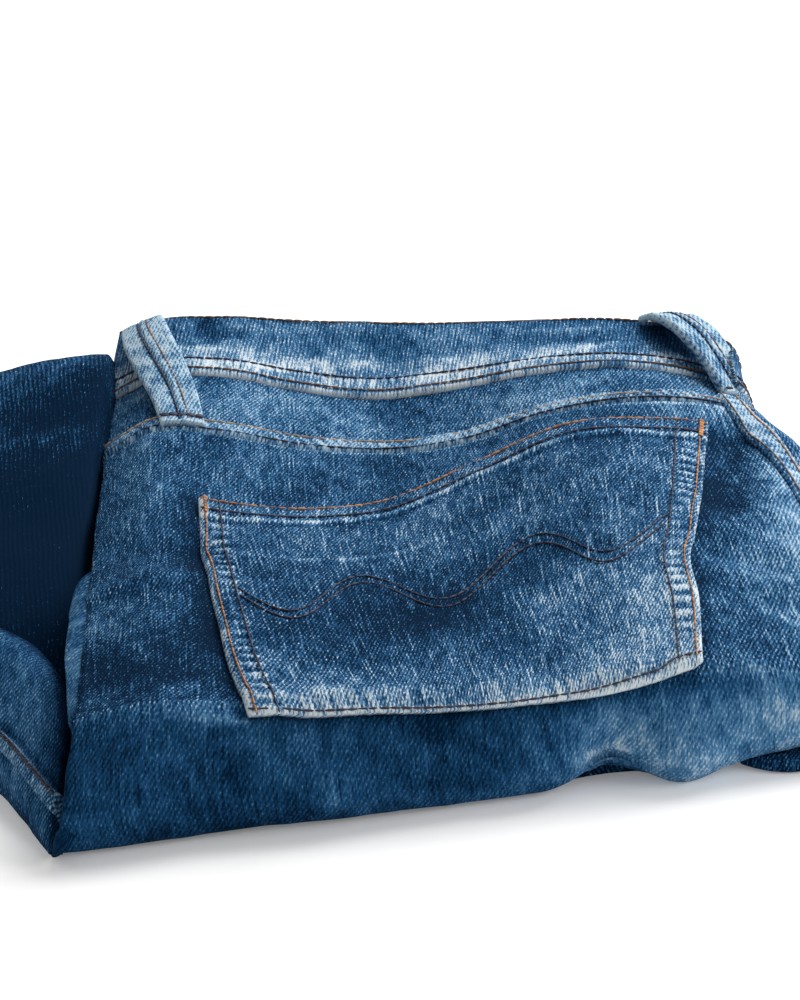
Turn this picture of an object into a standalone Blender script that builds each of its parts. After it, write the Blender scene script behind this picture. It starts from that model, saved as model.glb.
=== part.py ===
"""Blue jeans, folded and laid on a table: waistband at the back, one back pocket on top.

The jeans are folded lengthwise along the centre back, so the wearer's right half lies on top.
The legs are folded under at the front, back again at the rear, and out to the left.
Frame: +X runs from the centre-back fold to the side seam, +Y from the front fold to the
waistband, +Z up. The origin is on the table, under the middle of the bundle.
Tables are in millimetres from a point near the pocket; the model is in metres.
"""

import math
from collections import namedtuple

import bmesh
import bpy
import numpy as np

# ---------------------------------------------------------------- driving dimensions (mm)
CLOTH = 1.4                 # washed 12-ounce denim
BAND_CLOTH = 2.6            # waistband, doubled denim
LOOP_CLOTH = 1.8            # belt loop, folded denim
POCKET_CLOTH = 1.3
SEAM_CLOTH = 1.0            # what a felled seam adds over its panels
GAP = 0.3                   # between pieces that touch
LOOP_WIDTH = 13.0
PLY_DROP = 6.2              # the front half's waistband lies this far under the outer one
HEM_DEPTH = 30.0            # how much of each leg end shows at the rear
HEM_WIDTH = 168.0           # leg opening, laid flat
HEM_HEIGHT = 5.8            # two plies with their turned edge
CENTRE = (-18.1, -17.6)     # middle of the bundle, in table coordinates
METRE = 0.001

# ---------------------------------------------------------------- the top layer
# One row for each section, from the waistband's edge down the seat and round the front fold.
# heights are read at these shares of the way from the centre-back fold to the side seam.
SHARES = (0.0, 0.07, 0.17, 0.30, 0.42, 0.55, 0.68, 0.82, 0.93, 1.0)
Section = namedtuple("Section", "name x_left x_right y_left y_right bow reach heights")
SECTIONS = (
    Section("waist_top", -88, 100, 119, 117, 0, 7, (53, 57, 58, 57, 56.5, 56.3, 56.8, 57.5, 55, 51)),
    Section("waist_seam", -88.5, 101, 84, 80, 1, 7, (42, 49, 50, 45.5, 43, 46, 51, 53.6, 51.5, 48)),
    Section("yoke_seam", -87.5, 106, 42, 60, 0, 9, (38, 46, 44.5, 39.3, 37, 39.5, 47.5, 51.2, 49.5, 46)),
    Section("pocket_top", -86.5, 113, -11, 40, 0, 12, (33, 40, 37.5, 34, 33.5, 40.2, 49, 47.6, 45, 42)),
    Section("pocket_mid", -84, 128, -72, -14, 0, 14, (31, 36, 35, 33.5, 33, 36, 42, 41, 37, 31)),
    Section("pocket_low", -82, 143, -126, -72, 0, 12, (29, 32.5, 31, 29.5, 28.5, 29, 31, 29, 24, 18)),
    Section("crease", -82, 146, -136, -82, -1, 11, (28, 31, 29.5, 28, 27, 26.5, 27, 24, 18, 13)),
    Section("belly", -83, 148, -155, -86, -1, 9, (15, 15, 14.5, 14, 13.5, 13, 13, 12.5, 11.5, 10.5)),
    Section("toe", -84, 147, -152, -82, -1, 7, (2.5, 2.5, 2.5, 2.5, 2.5, 2.5, 2.5, 5.5, 6.5, 7)),
    Section("tuck", -83.4, 145, -145, -75, -1, 5, (0, 0, 0, 0, 0, 0, 0, 4.9, 5.2, 5.5)),
)
# The largest folds of the top layer: ridges stand out (+) and troughs go in (-).
Fold = namedtuple("Fold", "name start end spread height")
FOLDS = (
    Fold("front_crease", (-80, -130, 29), (-30, -129, 28), 5.0, 0.9),
    Fold("seat_valley", (-78, -30, 35), (-58, -33, 36), 8.0, -2.0),
    Fold("seat_ridge", (-84, -56, 33), (-60, -53, 35), 5.0, 1.6),
    Fold("pocket_hollow", (98, 40, 45), (93, -5, 42), 8.5, -3.3),
    Fold("side_ridge", (109, 42, 46), (105, -12, 41), 8.0, 2.2),
    Fold("pocket_pinch", (85, -36, 40), (100, -42, 38), 7.0, -1.8),
    Fold("hem_pinch", (98, -60, 33), (120, -68, 28), 9.0, -2.2),
    Fold("front_notch", (57, -112, 2), (55, -114, 9), 10.0, -8.0),
    Fold("front_bulge", (77, -110, 3), (75, -108, 8), 11.0, 3.3),
    Fold("slope_trough", (36, -100, 25), (50, -106, 14), 8.0, -1.8),
    Fold("left_slope", (-60, -140, 24), (-40, -142, 14), 13.0, -1.5),
)
SKIRT = 0.55                # share of its height that the centre-back fold turns down
SKIRT_BULGE = 1.0           # how far the turned fold stands out to the left
SKIRT_FOOT = 2.0            # how far it spreads there where it meets the table
SIDE_TURN = 75.0            # degrees past upright that the front panel turns under at the right
SIDE_DROP = 0.26            # share of its height that each half of that turn takes
SIDE_LIFTS = (9.0, 18.0)    # it reaches the table below the first height, turns under over the second

# ---------------------------------------------------------------- pieces on the top layer (mm)
# Plan outline of the back pocket, from its left to its right corner.
Edge = namedtuple("Edge", "share x_top y_top x_bottom y_bottom")
POCKET_EDGES = (
    Edge(0.00, -58.0, 0.0, -38.5, -130.5),
    Edge(0.14, -43.5, 0.5, -20.5, -128.0),
    Edge(0.28, -24.5, 4.0, -3.0, -124.5),
    Edge(0.42, -5.0, 11.5, 12.5, -123.0),
    Edge(0.56, 19.5, 24.0, 28.0, -118.5),
    Edge(0.70, 42.5, 31.5, 44.5, -111.0),
    Edge(0.85, 66.5, 39.0, 62.0, -104.5),
    Edge(1.00, 91.0, 44.0, 78.7, -96.5),
)
# How far the pocket's sides stray from straight lines, from its top to its foot.
Side = namedtuple("Side", "share left right")
POCKET_SIDES = (Side(0.0, 0, 0), Side(0.25, -2.3, -0.7), Side(0.5, -2.4, -2.3), Side(0.62, -2.3, -3.9),
                Side(0.8, -2.2, -1.2), Side(1.0, 0, 0))
POCKET_LIFTS = (0.7, 1.8)  # off the panel, at its mouth and at its foot

# Belt loops: where the middle line runs and how far it stands off the top layer.
Stop = namedtuple("Stop", "x y lift")
BACK_LOOP = (Stop(-80.5, 116, 1.7), Stop(-78.5, 107, 3.6), Stop(-74, 90, 4.0), Stop(-69.5, 71, 2.8),
             Stop(-66.5, 56, 1.4), Stop(-64.5, 45, 0.6))
SIDE_LOOP = (Stop(80.5, 116, 2.2), Stop(84, 106, 7.6), Stop(89, 95, 9.2), Stop(95, 84, 6.6),
             Stop(101.5, 75, 1.7), Stop(104, 71, 0.6))

# ---------------------------------------------------------------- the rolls at the left (mm)
# Upper roll, the folded thigh: a row for each section from its rear foot to its front foot.
Brow = namedtuple("Brow", "name y z")
THIGH = (
    Brow("rear_foot", 114, 0.0), Brow("rear_low", 121, 13), Brow("rear_high", 117, 37),
    Brow("crown_rear", 104, 51), Brow("crown", 88, 55.5), Brow("brow", 66, 50), Brow("ridge", 48, 44.5),
    Brow("slope", 18, 36), Brow("hollow", -15, 28), Brow("low", -40, 20), Brow("front", -54, 9),
    Brow("front_foot", -56, 1.0),
)
THIGH_RIGHT = -90.9         # where it meets the centre-back fold
THIGH_LEFT = -193.0
THIGH_DIP = 2.0             # how far its right edge dips into the crease beside the seat
THIGH_EDGE = 1.8            # its left end lies this high, one cloth over the table
THIGH_ROOF = ((0.0, 1.0), (0.15, 0.95), (0.31, 0.87), (0.6, 0.75), (0.8, 0.57), (0.93, 0.36), (1.0, 0.0))
# Lower roll: a row for each station from the front left corner round to the left end.
Station = namedtuple("Station", "name foot belly seam crest back")
SHIN = (
    Station("corner", (-87.6, -149, 0), (-87.6, -146, 7), (-86.6, -131, 12.5), (-86.2, -104, 20),
            (-86.2, -88, 16)),
    Station("near", (-104, -113, 0), (-105.5, -109, 9), (-104, -100, 16), (-101, -77, 24.5), (-99, -61, 20)),
    Station("middle", (-124, -92, 0), (-126, -88, 10), (-124.5, -80, 17), (-121, -60, 26), (-119, -50, 24)),
    Station("far", (-152, -78, 0), (-154, -73, 10), (-152, -64, 17), (-148, -46, 26), (-145.5, -37, 23.5)),
    Station("end", (-180, -68, 0), (-182, -63, 7), (-179, -57, 12), (-174, -46, 17), (-171, -38, 14)),
    Station("tip", (-191, -58, 0), (-192, -55, 0.8), (-190, -51, 1.2), (-186, -45, 1.2), (-183, -41, 0.6)),
)

# ---------------------------------------------------------------- the right side (mm)
# Folded plies under the front panel: where each starts and ends, as a share of the way from the
# table to the panel's turned edge, and how far it stands out, as a share of the panel's reach.
Ply = namedtuple("Ply", "start end reach")
SIDE_PLIES = (Ply(0.0, 0.34, 0.80), Ply(0.34, 0.63, 1.0), Ply(0.63, 1.0, 0.72))
PLY_SPAN = (0.97, 4.84)               # rows of the top layer between which the plies lie
PLY_ENDS = (0.5, 0.7)                 # rows over which they round off at each end
PLY_ROOTS = 12.5                      # how far they reach into the hidden layers

# ---------------------------------------------------------------- the rear (mm)
REAR_FOLD_MIDDLE = (103.0, 25.0)      # y and z of its centre
REAR_FOLD_RADII = (19.0, 12.3)
REAR_FOLD_SPAN = (-74.0, 96.0)        # left and right end
REAR_NOTCH = 92.0                     # the hidden layers end here, in front of the hems
HEM_MIDDLE = 13.0                     # x of the leg ends' middle
UNDER_FOLD_SPAN = (101.0, 143.0)      # lower leg fold that peeps out at the front right
UNDER_FOLD_FRONT = (-102.0, -88.0)    # y of its nose at each end
UNDER_FOLD_DEPTH = 21.0
UNDER_FOLD_HEIGHT = 4.1

COLOURS = {
    "seat": (0.075, 0.165, 0.330, 1), "worn": (0.160, 0.290, 0.460, 1),
    "dark": (0.020, 0.050, 0.110, 1), "pale": (0.330, 0.450, 0.600, 1),
    "inside": (0.250, 0.330, 0.430, 1),
}


# ---------------------------------------------------------------- smooth tables
def smooth(knots, values, at):
    """A smooth curve through values (one row per knot), read at each number in at."""
    knots = np.asarray(knots, float)
    values = np.asarray(values, float)
    at = np.atleast_1d(np.asarray(at, float))
    slopes = np.gradient(values, knots, axis=0)
    i = np.clip(np.searchsorted(knots, at, side="right") - 1, 0, len(knots) - 2)
    span = knots[i + 1] - knots[i]
    s = (at - knots[i]) / span
    if values.ndim > 1:
        span = span[:, None]
        s = s[:, None]
    rise = s * s * (3 - 2 * s)
    return ((1 - rise) * values[i] + rise * values[i + 1]
            + s * (1 - s) ** 2 * slopes[i] * span - s * s * (1 - s) * slopes[i + 1] * span)


def along_rows(columns, v):
    """Read columns (points x rows) at the row number v, smoothly."""
    slopes = np.gradient(columns, axis=1)
    n = np.arange(len(v))
    i = np.clip(v.astype(int), 0, columns.shape[1] - 2)
    s = v - i
    rise = s * s * (3 - 2 * s)
    return ((1 - rise) * columns[n, i] + rise * columns[n, i + 1]
            + s * (1 - s) ** 2 * slopes[n, i] - s * s * (1 - s) * slopes[n, i + 1])


HEIGHTS = np.array([row.heights for row in SECTIONS], float)
LEFTS = np.array([(row.x_left, row.y_left) for row in SECTIONS], float)
RIGHTS = np.array([(row.x_right, row.y_right) for row in SECTIONS], float)
BOWS = np.array([row.bow for row in SECTIONS], float)
REACHES = np.array([row.reach for row in SECTIONS], float)


def bare_top(t, v):
    """Top layer without its folds. t: -1..0 turned fold, 0..1 across, 1..2 down the side."""
    across = np.clip(t, 0, 1)
    z = along_rows(smooth(SHARES, HEIGHTS.T, across), v)
    ends = LEFTS[None] + (RIGHTS - LEFTS)[None] * across[:, None, None]
    x = along_rows(ends[:, :, 0], v)
    y = along_rows(ends[:, :, 1] + BOWS[None] * np.sin(math.pi * across)[:, None], v)
    down = np.clip(-t, 0, 1)
    upright = np.clip(z / 15, 0, 1)
    x = x + (1.5 * down ** 2 - SKIRT_BULGE * np.sin(math.pi * down)) * upright
    x = x - SKIRT_FOOT * down * (1 - upright)
    turn = np.clip((z - SIDE_LIFTS[0]) / (SIDE_LIFTS[1] - SIDE_LIFTS[0]), 0, 1)
    side = np.clip(t - 1, 0, 1) * (math.pi / 2 + math.radians(SIDE_TURN) * turn)
    reach = along_rows(np.repeat(REACHES[None], len(t), axis=0), v)
    x = x + reach * np.sin(side)
    drop = (1 - (1 - SIDE_DROP) * turn) * (1 - np.cos(side))
    return np.stack([x, y, z * (1 - SKIRT * down) * (1 - drop)], axis=1)


def normals_of(shape, t, v, step=0.004):
    """Outward unit normals of a surface function."""
    dt = shape(t + step, v) - shape(t - step, v)
    dv = shape(t, v + step) - shape(t, v - step)
    n = np.cross(dv, dt)
    return n / np.maximum(np.linalg.norm(n, axis=1, keepdims=True), 1e-9)


def to_segment(points, start, end):
    """Distance from each point to the line between start and end."""
    start = np.asarray(start, float)
    run = np.asarray(end, float) - start
    s = np.clip((points - start) @ run / max(run @ run, 1e-9), 0, 1)
    return np.linalg.norm(points - start - s[:, None] * run, axis=1)


def top(t, v):
    """Top layer with its folds."""
    t, v = (a.ravel() for a in np.broadcast_arrays(np.asarray(t, float), np.asarray(v, float)))
    base = bare_top(t, v)
    out = normals_of(bare_top, t, v)
    push = sum(f.height * np.exp(-(to_segment(base, f.start, f.end) / f.spread) ** 2) for f in FOLDS)
    moved = base + out * push[:, None]
    moved[:, 2] = np.maximum(moved[:, 2], 0.0)
    return moved


def top_moved(t, v, distance):
    """Points of the top layer, moved out (or in, if negative) by distance."""
    t, v = (a.ravel() for a in np.broadcast_arrays(np.asarray(t, float), np.asarray(v, float)))
    return top(t, v) + normals_of(top, t, v) * np.asarray(distance, float).reshape(-1, 1)


def place_on_top(x, y):
    """Shares (t, v) of the top layer's point that lies at x, y in plan."""
    x = np.asarray(x, float)
    y = np.asarray(y, float)
    low = np.zeros_like(x)
    high = np.full_like(x, 6.2)
    for _ in range(40):
        v = (low + high) / 2
        left = np.stack([smooth(range(len(SECTIONS)), LEFTS[:, k], v) for k in (0, 1)])
        right = np.stack([smooth(range(len(SECTIONS)), RIGHTS[:, k], v) for k in (0, 1)])
        t = (x - left[0]) / (right[0] - left[0])
        bow = smooth(range(len(SECTIONS)), BOWS, v) * np.sin(math.pi * np.clip(t, 0, 1))
        too_far = left[1] + (right[1] - left[1]) * t + bow > y
        low = np.where(too_far, v, low)
        high = np.where(too_far, high, v)
    return t, v


# ---------------------------------------------------------------- mesh helpers
def material(name, colour):
    mat = bpy.data.materials.get(name) or bpy.data.materials.new(name)
    mat.use_nodes = True
    shader = mat.node_tree.nodes["Principled BSDF"]
    shader.inputs["Base Color"].default_value = COLOURS[colour]
    shader.inputs["Roughness"].default_value = 0.88
    shader.inputs["Metallic"].default_value = 0.0
    return mat


def add_object(name, vertices, faces, colour, collection):
    """A closed body from points in table millimetres."""
    shift = np.array([CENTRE[0], CENTRE[1], 0.0])
    mesh = bpy.data.meshes.new(name)
    mesh.from_pydata(((np.asarray(vertices) - shift) * METRE).tolist(), [], faces)
    bm = bmesh.new()
    bm.from_mesh(mesh)
    bmesh.ops.recalc_face_normals(bm, faces=bm.faces)
    if bm.calc_volume(signed=True) < 0:
        bmesh.ops.reverse_faces(bm, faces=bm.faces)
    bm.to_mesh(mesh)
    bm.free()
    mesh.materials.append(material(name + "_denim", colour))
    mesh.shade_smooth()
    obj = bpy.data.objects.new(name, mesh)
    collection.objects.link(obj)
    return obj


def grid_faces(rows, columns, first=0, flip=False):
    """Four-sided faces of a grid of points stored row by row."""
    faces = []
    for r in range(rows - 1):
        for c in range(columns - 1):
            a = first + r * columns + c
            quad = (a, a + 1, a + columns + 1, a + columns)
            faces.append(quad[::-1] if flip else quad)
    return faces


def rim_of(rows, columns):
    """Point numbers round the edge of a grid, in order."""
    return ([c for c in range(columns)]
            + [r * columns + columns - 1 for r in range(1, rows)]
            + [(rows - 1) * columns + c for c in range(columns - 2, -1, -1)]
            + [r * columns for r in range(rows - 2, 0, -1)])


def wall(name, outer, inner, rows, columns, colour, collection):
    """A sheet of cloth: an outer and an inner grid, joined round their edge."""
    count = rows * columns
    faces = grid_faces(rows, columns) + grid_faces(rows, columns, count, flip=True)
    rim = rim_of(rows, columns)
    for a, b in zip(rim, rim[1:] + rim[:1]):
        faces.append((b, a, a + count, b + count))
    return add_object(name, np.vstack([outer, inner]), faces, colour, collection)


def top_sheet(name, t_values, v_values, thickness, colour, collection, lift=0.0):
    """A sheet that lies in the top layer, or lift above it."""
    t, v = np.meshgrid(t_values, v_values)
    t, v = t.ravel(), v.ravel()
    outer = top_moved(t, v, np.full(t.shape, lift + (thickness if lift else 0.0)))
    inner = top_moved(t, v, np.full(t.shape, lift if lift else -thickness))
    for grid in (outer, inner):
        grid[:, 2] = np.maximum(grid[:, 2], 0.0)
    flat = (outer[:, 2] < thickness) & (inner[:, 2] < outer[:, 2] + 0.8 * thickness)
    inner[:, 2] = np.where(flat, outer[:, 2] + thickness, inner[:, 2])
    return wall(name, outer, inner, len(v_values), len(t_values), colour, collection)


def loft(name, rings, colour, collection, closed_ends=True):
    """A solid through closed rings of the same number of points."""
    count = len(rings[0])
    faces = []
    for r in range(len(rings) - 1):
        for c in range(count):
            a, b = r * count + c, r * count + (c + 1) % count
            faces.append((a, b, b + count, a + count))
    if closed_ends:
        faces.append(tuple(range(count))[::-1])
        faces.append(tuple(range((len(rings) - 1) * count, len(rings) * count)))
    return add_object(name, np.vstack(rings), faces, colour, collection)


def spread(start, end, count):
    return np.linspace(start, end, count)


# ---------------------------------------------------------------- pieces of the top layer
EDGE = 0.006                # half a seam's gap, as a share of a section
SEAM_SHARE = 0.998          # where the back pieces end, as a share of the way to the side seam


def make_waistband(collection):
    """Outer waistband; it stands a little proud of the yoke and turns down at both ends."""
    t_values = np.concatenate([spread(-1, 0, 5), spread(0, 1, 27)[1:], spread(1, 1.62, 5)[1:]])
    t, v = (g.ravel() for g in np.meshgrid(t_values, spread(0, 1 - EDGE, 6)))
    outer = top_moved(t, v, np.full(t.shape, BAND_CLOTH - CLOTH))
    inner = top_moved(t, v, np.full(t.shape, -CLOTH))
    return wall("waistband", outer, inner, 6, len(t_values), "worn", collection)


def make_inner_band(collection):
    """The front half's waistband, one ply further down."""
    t_values = spread(0.075, 0.945, 22)
    t, v = (g.ravel() for g in np.meshgrid(t_values, spread(0.02, 0.93, 4)))
    outer = top_moved(t, v, np.full(t.shape, -PLY_DROP))
    inner = top_moved(t, v, np.full(t.shape, -PLY_DROP - BAND_CLOTH))
    return wall("waistband_front_half", outer, inner, 4, len(t_values), "inside", collection)


def make_yoke(collection):
    t_values = np.concatenate([spread(-1, 0, 5), spread(0, SEAM_SHARE, 25)[1:]])
    return top_sheet("back_yoke", t_values, spread(1 + EDGE, 2 - EDGE, 5), CLOTH, "seat", collection)


def make_back_panel(collection):
    """Seat, thigh and the front fold: one cut piece, down to the table and turned under."""
    t_values = np.concatenate([spread(-1, 0, 4), spread(0, SEAM_SHARE, 29)[1:]])
    v_values = np.concatenate([spread(2 + EDGE, 5, 18), spread(5, 9, 15)[1:]])
    return top_sheet("back_panel", t_values, v_values, CLOTH, "seat", collection)


def make_front_panel(collection):
    """The front panel beyond the side seam, rolling down to the table."""
    v_values = np.concatenate([spread(1 + EDGE, 5, 14), spread(5, 9, 9)[1:]])
    return top_sheet("front_panel", spread(1.02, 2, 8), v_values, CLOTH, "seat", collection)


def make_side_seam(collection):
    return top_sheet("side_seam", spread(0.955, 0.997, 3), spread(1.66, 6.5, 24), SEAM_CLOTH, "worn",
                     collection, lift=2 * GAP)


def make_crotch_edge(collection):
    """Edge strip of the crotch, on the left side of the centre-back fold."""
    return top_sheet("crotch_edge", spread(-0.72, -0.05, 5), spread(3.55, 5.1, 9), CLOTH, "worn",
                     collection, lift=GAP)


def pocket_plan(u, w):
    """Plan position of the pocket's point at share u across and w down."""
    shares = [e.share for e in POCKET_EDGES]
    head = smooth(shares, [(e.x_top, e.y_top) for e in POCKET_EDGES], u)
    foot = smooth(shares, [(e.x_bottom, e.y_bottom) for e in POCKET_EDGES], u)
    plan = head + (foot - head) * w[:, None]
    sides = smooth([s.share for s in POCKET_SIDES], [(s.left, s.right) for s in POCKET_SIDES], w)
    plan[:, 0] += sides[:, 0] * (1 - u) + sides[:, 1] * u
    return plan


def make_pocket(collection):
    """Back patch pocket: it lies on the panel, just clear of it."""
    rows, columns = 18, 21
    w, u = (g.ravel() for g in np.meshgrid(spread(0, 1, rows), spread(0, 1, columns), indexing="ij"))
    plan = pocket_plan(u, w)
    t, v = place_on_top(plan[:, 0], plan[:, 1])
    lift = POCKET_LIFTS[0] + (POCKET_LIFTS[1] - POCKET_LIFTS[0]) * w ** 3
    outer = top_moved(t, v, lift + POCKET_CLOTH)
    inner = top_moved(t, v, lift)
    return wall("back_pocket", outer, inner, rows, columns, "seat", collection)


def make_loop(name, stops, collection):
    """Belt loop: a strip that follows its stops and stands off the layer below it."""
    rows, columns = 19, 5
    s = spread(0, 1, rows)
    knots = spread(0, 1, len(stops))
    line = smooth(knots, [(p.x, p.y, p.lift) for p in stops], s)
    run = np.gradient(line[:, :2], axis=0)
    run /= np.linalg.norm(run, axis=1, keepdims=True)
    side = np.stack([-run[:, 1], run[:, 0]], axis=1)
    outer, inner = [], []
    for row in range(rows):
        for e in spread(-1, 1, columns):
            x, y = line[row, :2] + side[row] * e * LOOP_WIDTH / 2
            t, v = place_on_top(np.array([x]), np.array([y]))
            lift = line[row, 2]
            outer.append(top_moved(t, v, lift + LOOP_CLOTH)[0])
            inner.append(top_moved(t, v, lift)[0])
    return wall(name, np.array(outer), np.array(inner), rows, columns, "pale", collection)


# ---------------------------------------------------------------- rolls at the left
def thigh(a, b):
    """Upper roll. a: 0 beside the seat to 1 at the left end; b: row number, rear to front."""
    rows = np.array([(r.y, r.z) for r in THIGH], float)
    yz = smooth(range(len(THIGH)), rows, b)
    x = THIGH_RIGHT + (THIGH_LEFT - THIGH_RIGHT) * a
    round_off = np.clip(smooth([r[0] for r in THIGH_ROOF], [r[1] for r in THIGH_ROOF], a), 0, 1)
    dip = THIGH_DIP * np.exp(-((THIGH_RIGHT - x) / 3.0) ** 2) * np.clip(yz[:, 1] / 40, 0, 1)
    y = 20 + (yz[:, 0] - 20) * (1 - 0.5 * a ** 3)
    return np.stack([x, y, np.maximum(yz[:, 1] * round_off - dip, THIGH_EDGE * a ** 2)], axis=1)


def shin(a, b):
    """Lower roll. a: station number from the corner; b: 0 foot to 4 back edge."""
    columns = np.array([[s.foot, s.belly, s.seam, s.crest, s.back] for s in SHIN], float)
    across = smooth(range(len(SHIN)), columns.reshape(len(SHIN), -1), a).reshape(-1, 5, 3)
    point = np.stack([along_rows(across[:, :, k], b) for k in range(3)], axis=1)
    point[:, 2] = np.maximum(point[:, 2], 0)
    return point


def moved(shape, a, b, distance, sign=1.0):
    return shape(a, b) + sign * normals_of(shape, a, b) * distance


def roll_sheet(name, shape, a_values, b_values, near, far, sign, colour, collection):
    """A sheet between two distances from a roll's surface function."""
    a, b = (g.ravel() for g in np.meshgrid(a_values, b_values))
    outer = moved(shape, a, b, far, sign)
    inner = moved(shape, a, b, near, sign)
    for grid in (outer, inner):
        grid[:, 2] = np.maximum(grid[:, 2], 0.0)
    return wall(name, outer, inner, len(b_values), len(a_values), colour, collection)


def make_left_rolls(collection):
    a_values = np.sin(spread(0, math.pi / 2, 14))
    roll_sheet("thigh_roll", thigh, a_values, spread(0, 11, 19), -CLOTH, 0.0, -1.0, "dark", collection)
    a_values = spread(0, 5, 16)
    roll_sheet("shin_roll", shin, a_values, spread(0, 4, 13), -CLOTH, 0.0, 1.0, "seat", collection)
    roll_sheet("inseam", shin, spread(0.05, 4.6, 16), spread(1.3, 1.75, 3), GAP, GAP + SEAM_CLOTH, 1.0,
               "worn", collection)


# ---------------------------------------------------------------- the rear and the hidden layers
def rear_fold_point(x, angle, inset):
    """Point of the rear fold's rounded outline, set in by inset."""
    low, high = REAR_FOLD_SPAN
    along = np.clip(abs(2 * (x - low) / (high - low) - 1), 0, 1)
    depth = REAR_FOLD_RADII[0] * (0.55 + 0.45 * math.sqrt(max(1 - along ** 6, 0)))
    y = REAR_FOLD_MIDDLE[0] + (depth - inset) * math.cos(angle)
    z = REAR_FOLD_MIDDLE[1] + (REAR_FOLD_RADII[1] - inset) * math.sin(angle)
    return (x, y, z)


def make_rear_fold(collection):
    """Fold of both legs at the rear, under the waistband."""
    x_values = spread(*REAR_FOLD_SPAN, 19)
    angles = np.radians(spread(-70, 68, 11))
    outer = np.array([rear_fold_point(x, a, 0.0) for a in angles for x in x_values])
    inner = np.array([rear_fold_point(x, a, CLOTH) for a in angles for x in x_values])
    wall("leg_rear_fold", outer, inner, len(angles), len(x_values), "seat", collection)


def stadium(width, height, segments=6):
    """Closed outline of a flattened tube, in x and z."""
    radius = height / 2
    arc = np.radians(spread(-90, 90, segments))
    right = [(width / 2 - radius + radius * math.cos(a), radius * math.sin(a)) for a in arc]
    left = [(-x, -z) for x, z in right]
    straight = spread(-1, 1, 9)[1:-1] * (width / 2 - radius)
    upper = [(x, radius) for x in straight[::-1]]
    lower = [(x, -radius) for x in straight]
    return np.array(right + upper + left + lower)


def make_hem(name, bottom, collection):
    """Open end of a leg, flattened: a tube with its turned edge at the rear."""
    outer = stadium(HEM_WIDTH, HEM_HEIGHT)
    inner = stadium(HEM_WIDTH - 2 * CLOTH, HEM_HEIGHT - 2 * CLOTH)
    y_values = (REAR_NOTCH + GAP, REAR_NOTCH + HEM_DEPTH - 13, REAR_NOTCH + HEM_DEPTH)
    count = len(outer)
    rings = []
    for outline in (outer, inner):
        for y in y_values:
            x = outline[:, 0] + HEM_MIDDLE
            z = outline[:, 1] + bottom + HEM_HEIGHT / 2
            rings.append(np.stack([x, np.full(count, y), z], axis=1))
    order = [0, 1, 2, 5, 4, 3, 0]
    faces = []
    for r, s in zip(order, order[1:]):
        for c in range(count):
            d = (c + 1) % count
            faces.append((r * count + c, r * count + d, s * count + d, s * count + c))
    return add_object(name, np.vstack(rings), faces, "seat", collection)


def make_under_fold(collection):
    """Lower leg fold at the front right: thin cloth folded flat, nose to the front."""
    columns = 9
    outlines = []
    for near in (0.0, CLOTH):
        height = UNDER_FOLD_HEIGHT
        outlines.append([(UNDER_FOLD_DEPTH, height - near), (9, height - near), (3.5, height - near),
                         (near + 0.6, 0.7 * height), (near, height / 2), (near + 0.6, 0.3 * height),
                         (3.5, near), (9, near), (UNDER_FOLD_DEPTH, near)])
    grids = []
    for outline in outlines:
        grid = []
        for back, z in outline:
            for share in spread(0, 1, columns):
                x = UNDER_FOLD_SPAN[0] + (UNDER_FOLD_SPAN[1] - UNDER_FOLD_SPAN[0]) * share
                front = UNDER_FOLD_FRONT[0] + (UNDER_FOLD_FRONT[1] - UNDER_FOLD_FRONT[0]) * share
                grid.append((x, front + back, z))
        grids.append(np.array(grid))
    wall("leg_under_fold", grids[0], grids[1], len(outlines[0]), columns, "seat", collection)


# ---------------------------------------------------------------- hidden layers
INNER_CLEARANCE = 2.2       # between the hidden layers and the cloth over them
NOSE_ROOM = (5.0, 3.8)      # how far the front fold's filling stays back and down
NOTCH_EASE = 4.5            # and further back behind the front notch
NOTCH_SHARE = 0.6           # where that notch is, as a share of the way across
PLY_CLEARANCE = 0.5         # between the hidden layers and the inner waistband


CORE_SHARES = np.concatenate([(0.03, 0.05), spread(0.08, 0.68, 10), spread(0.72, 0.95, 9)])
CORE_LEFT = -78.3           # x of its left end


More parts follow.
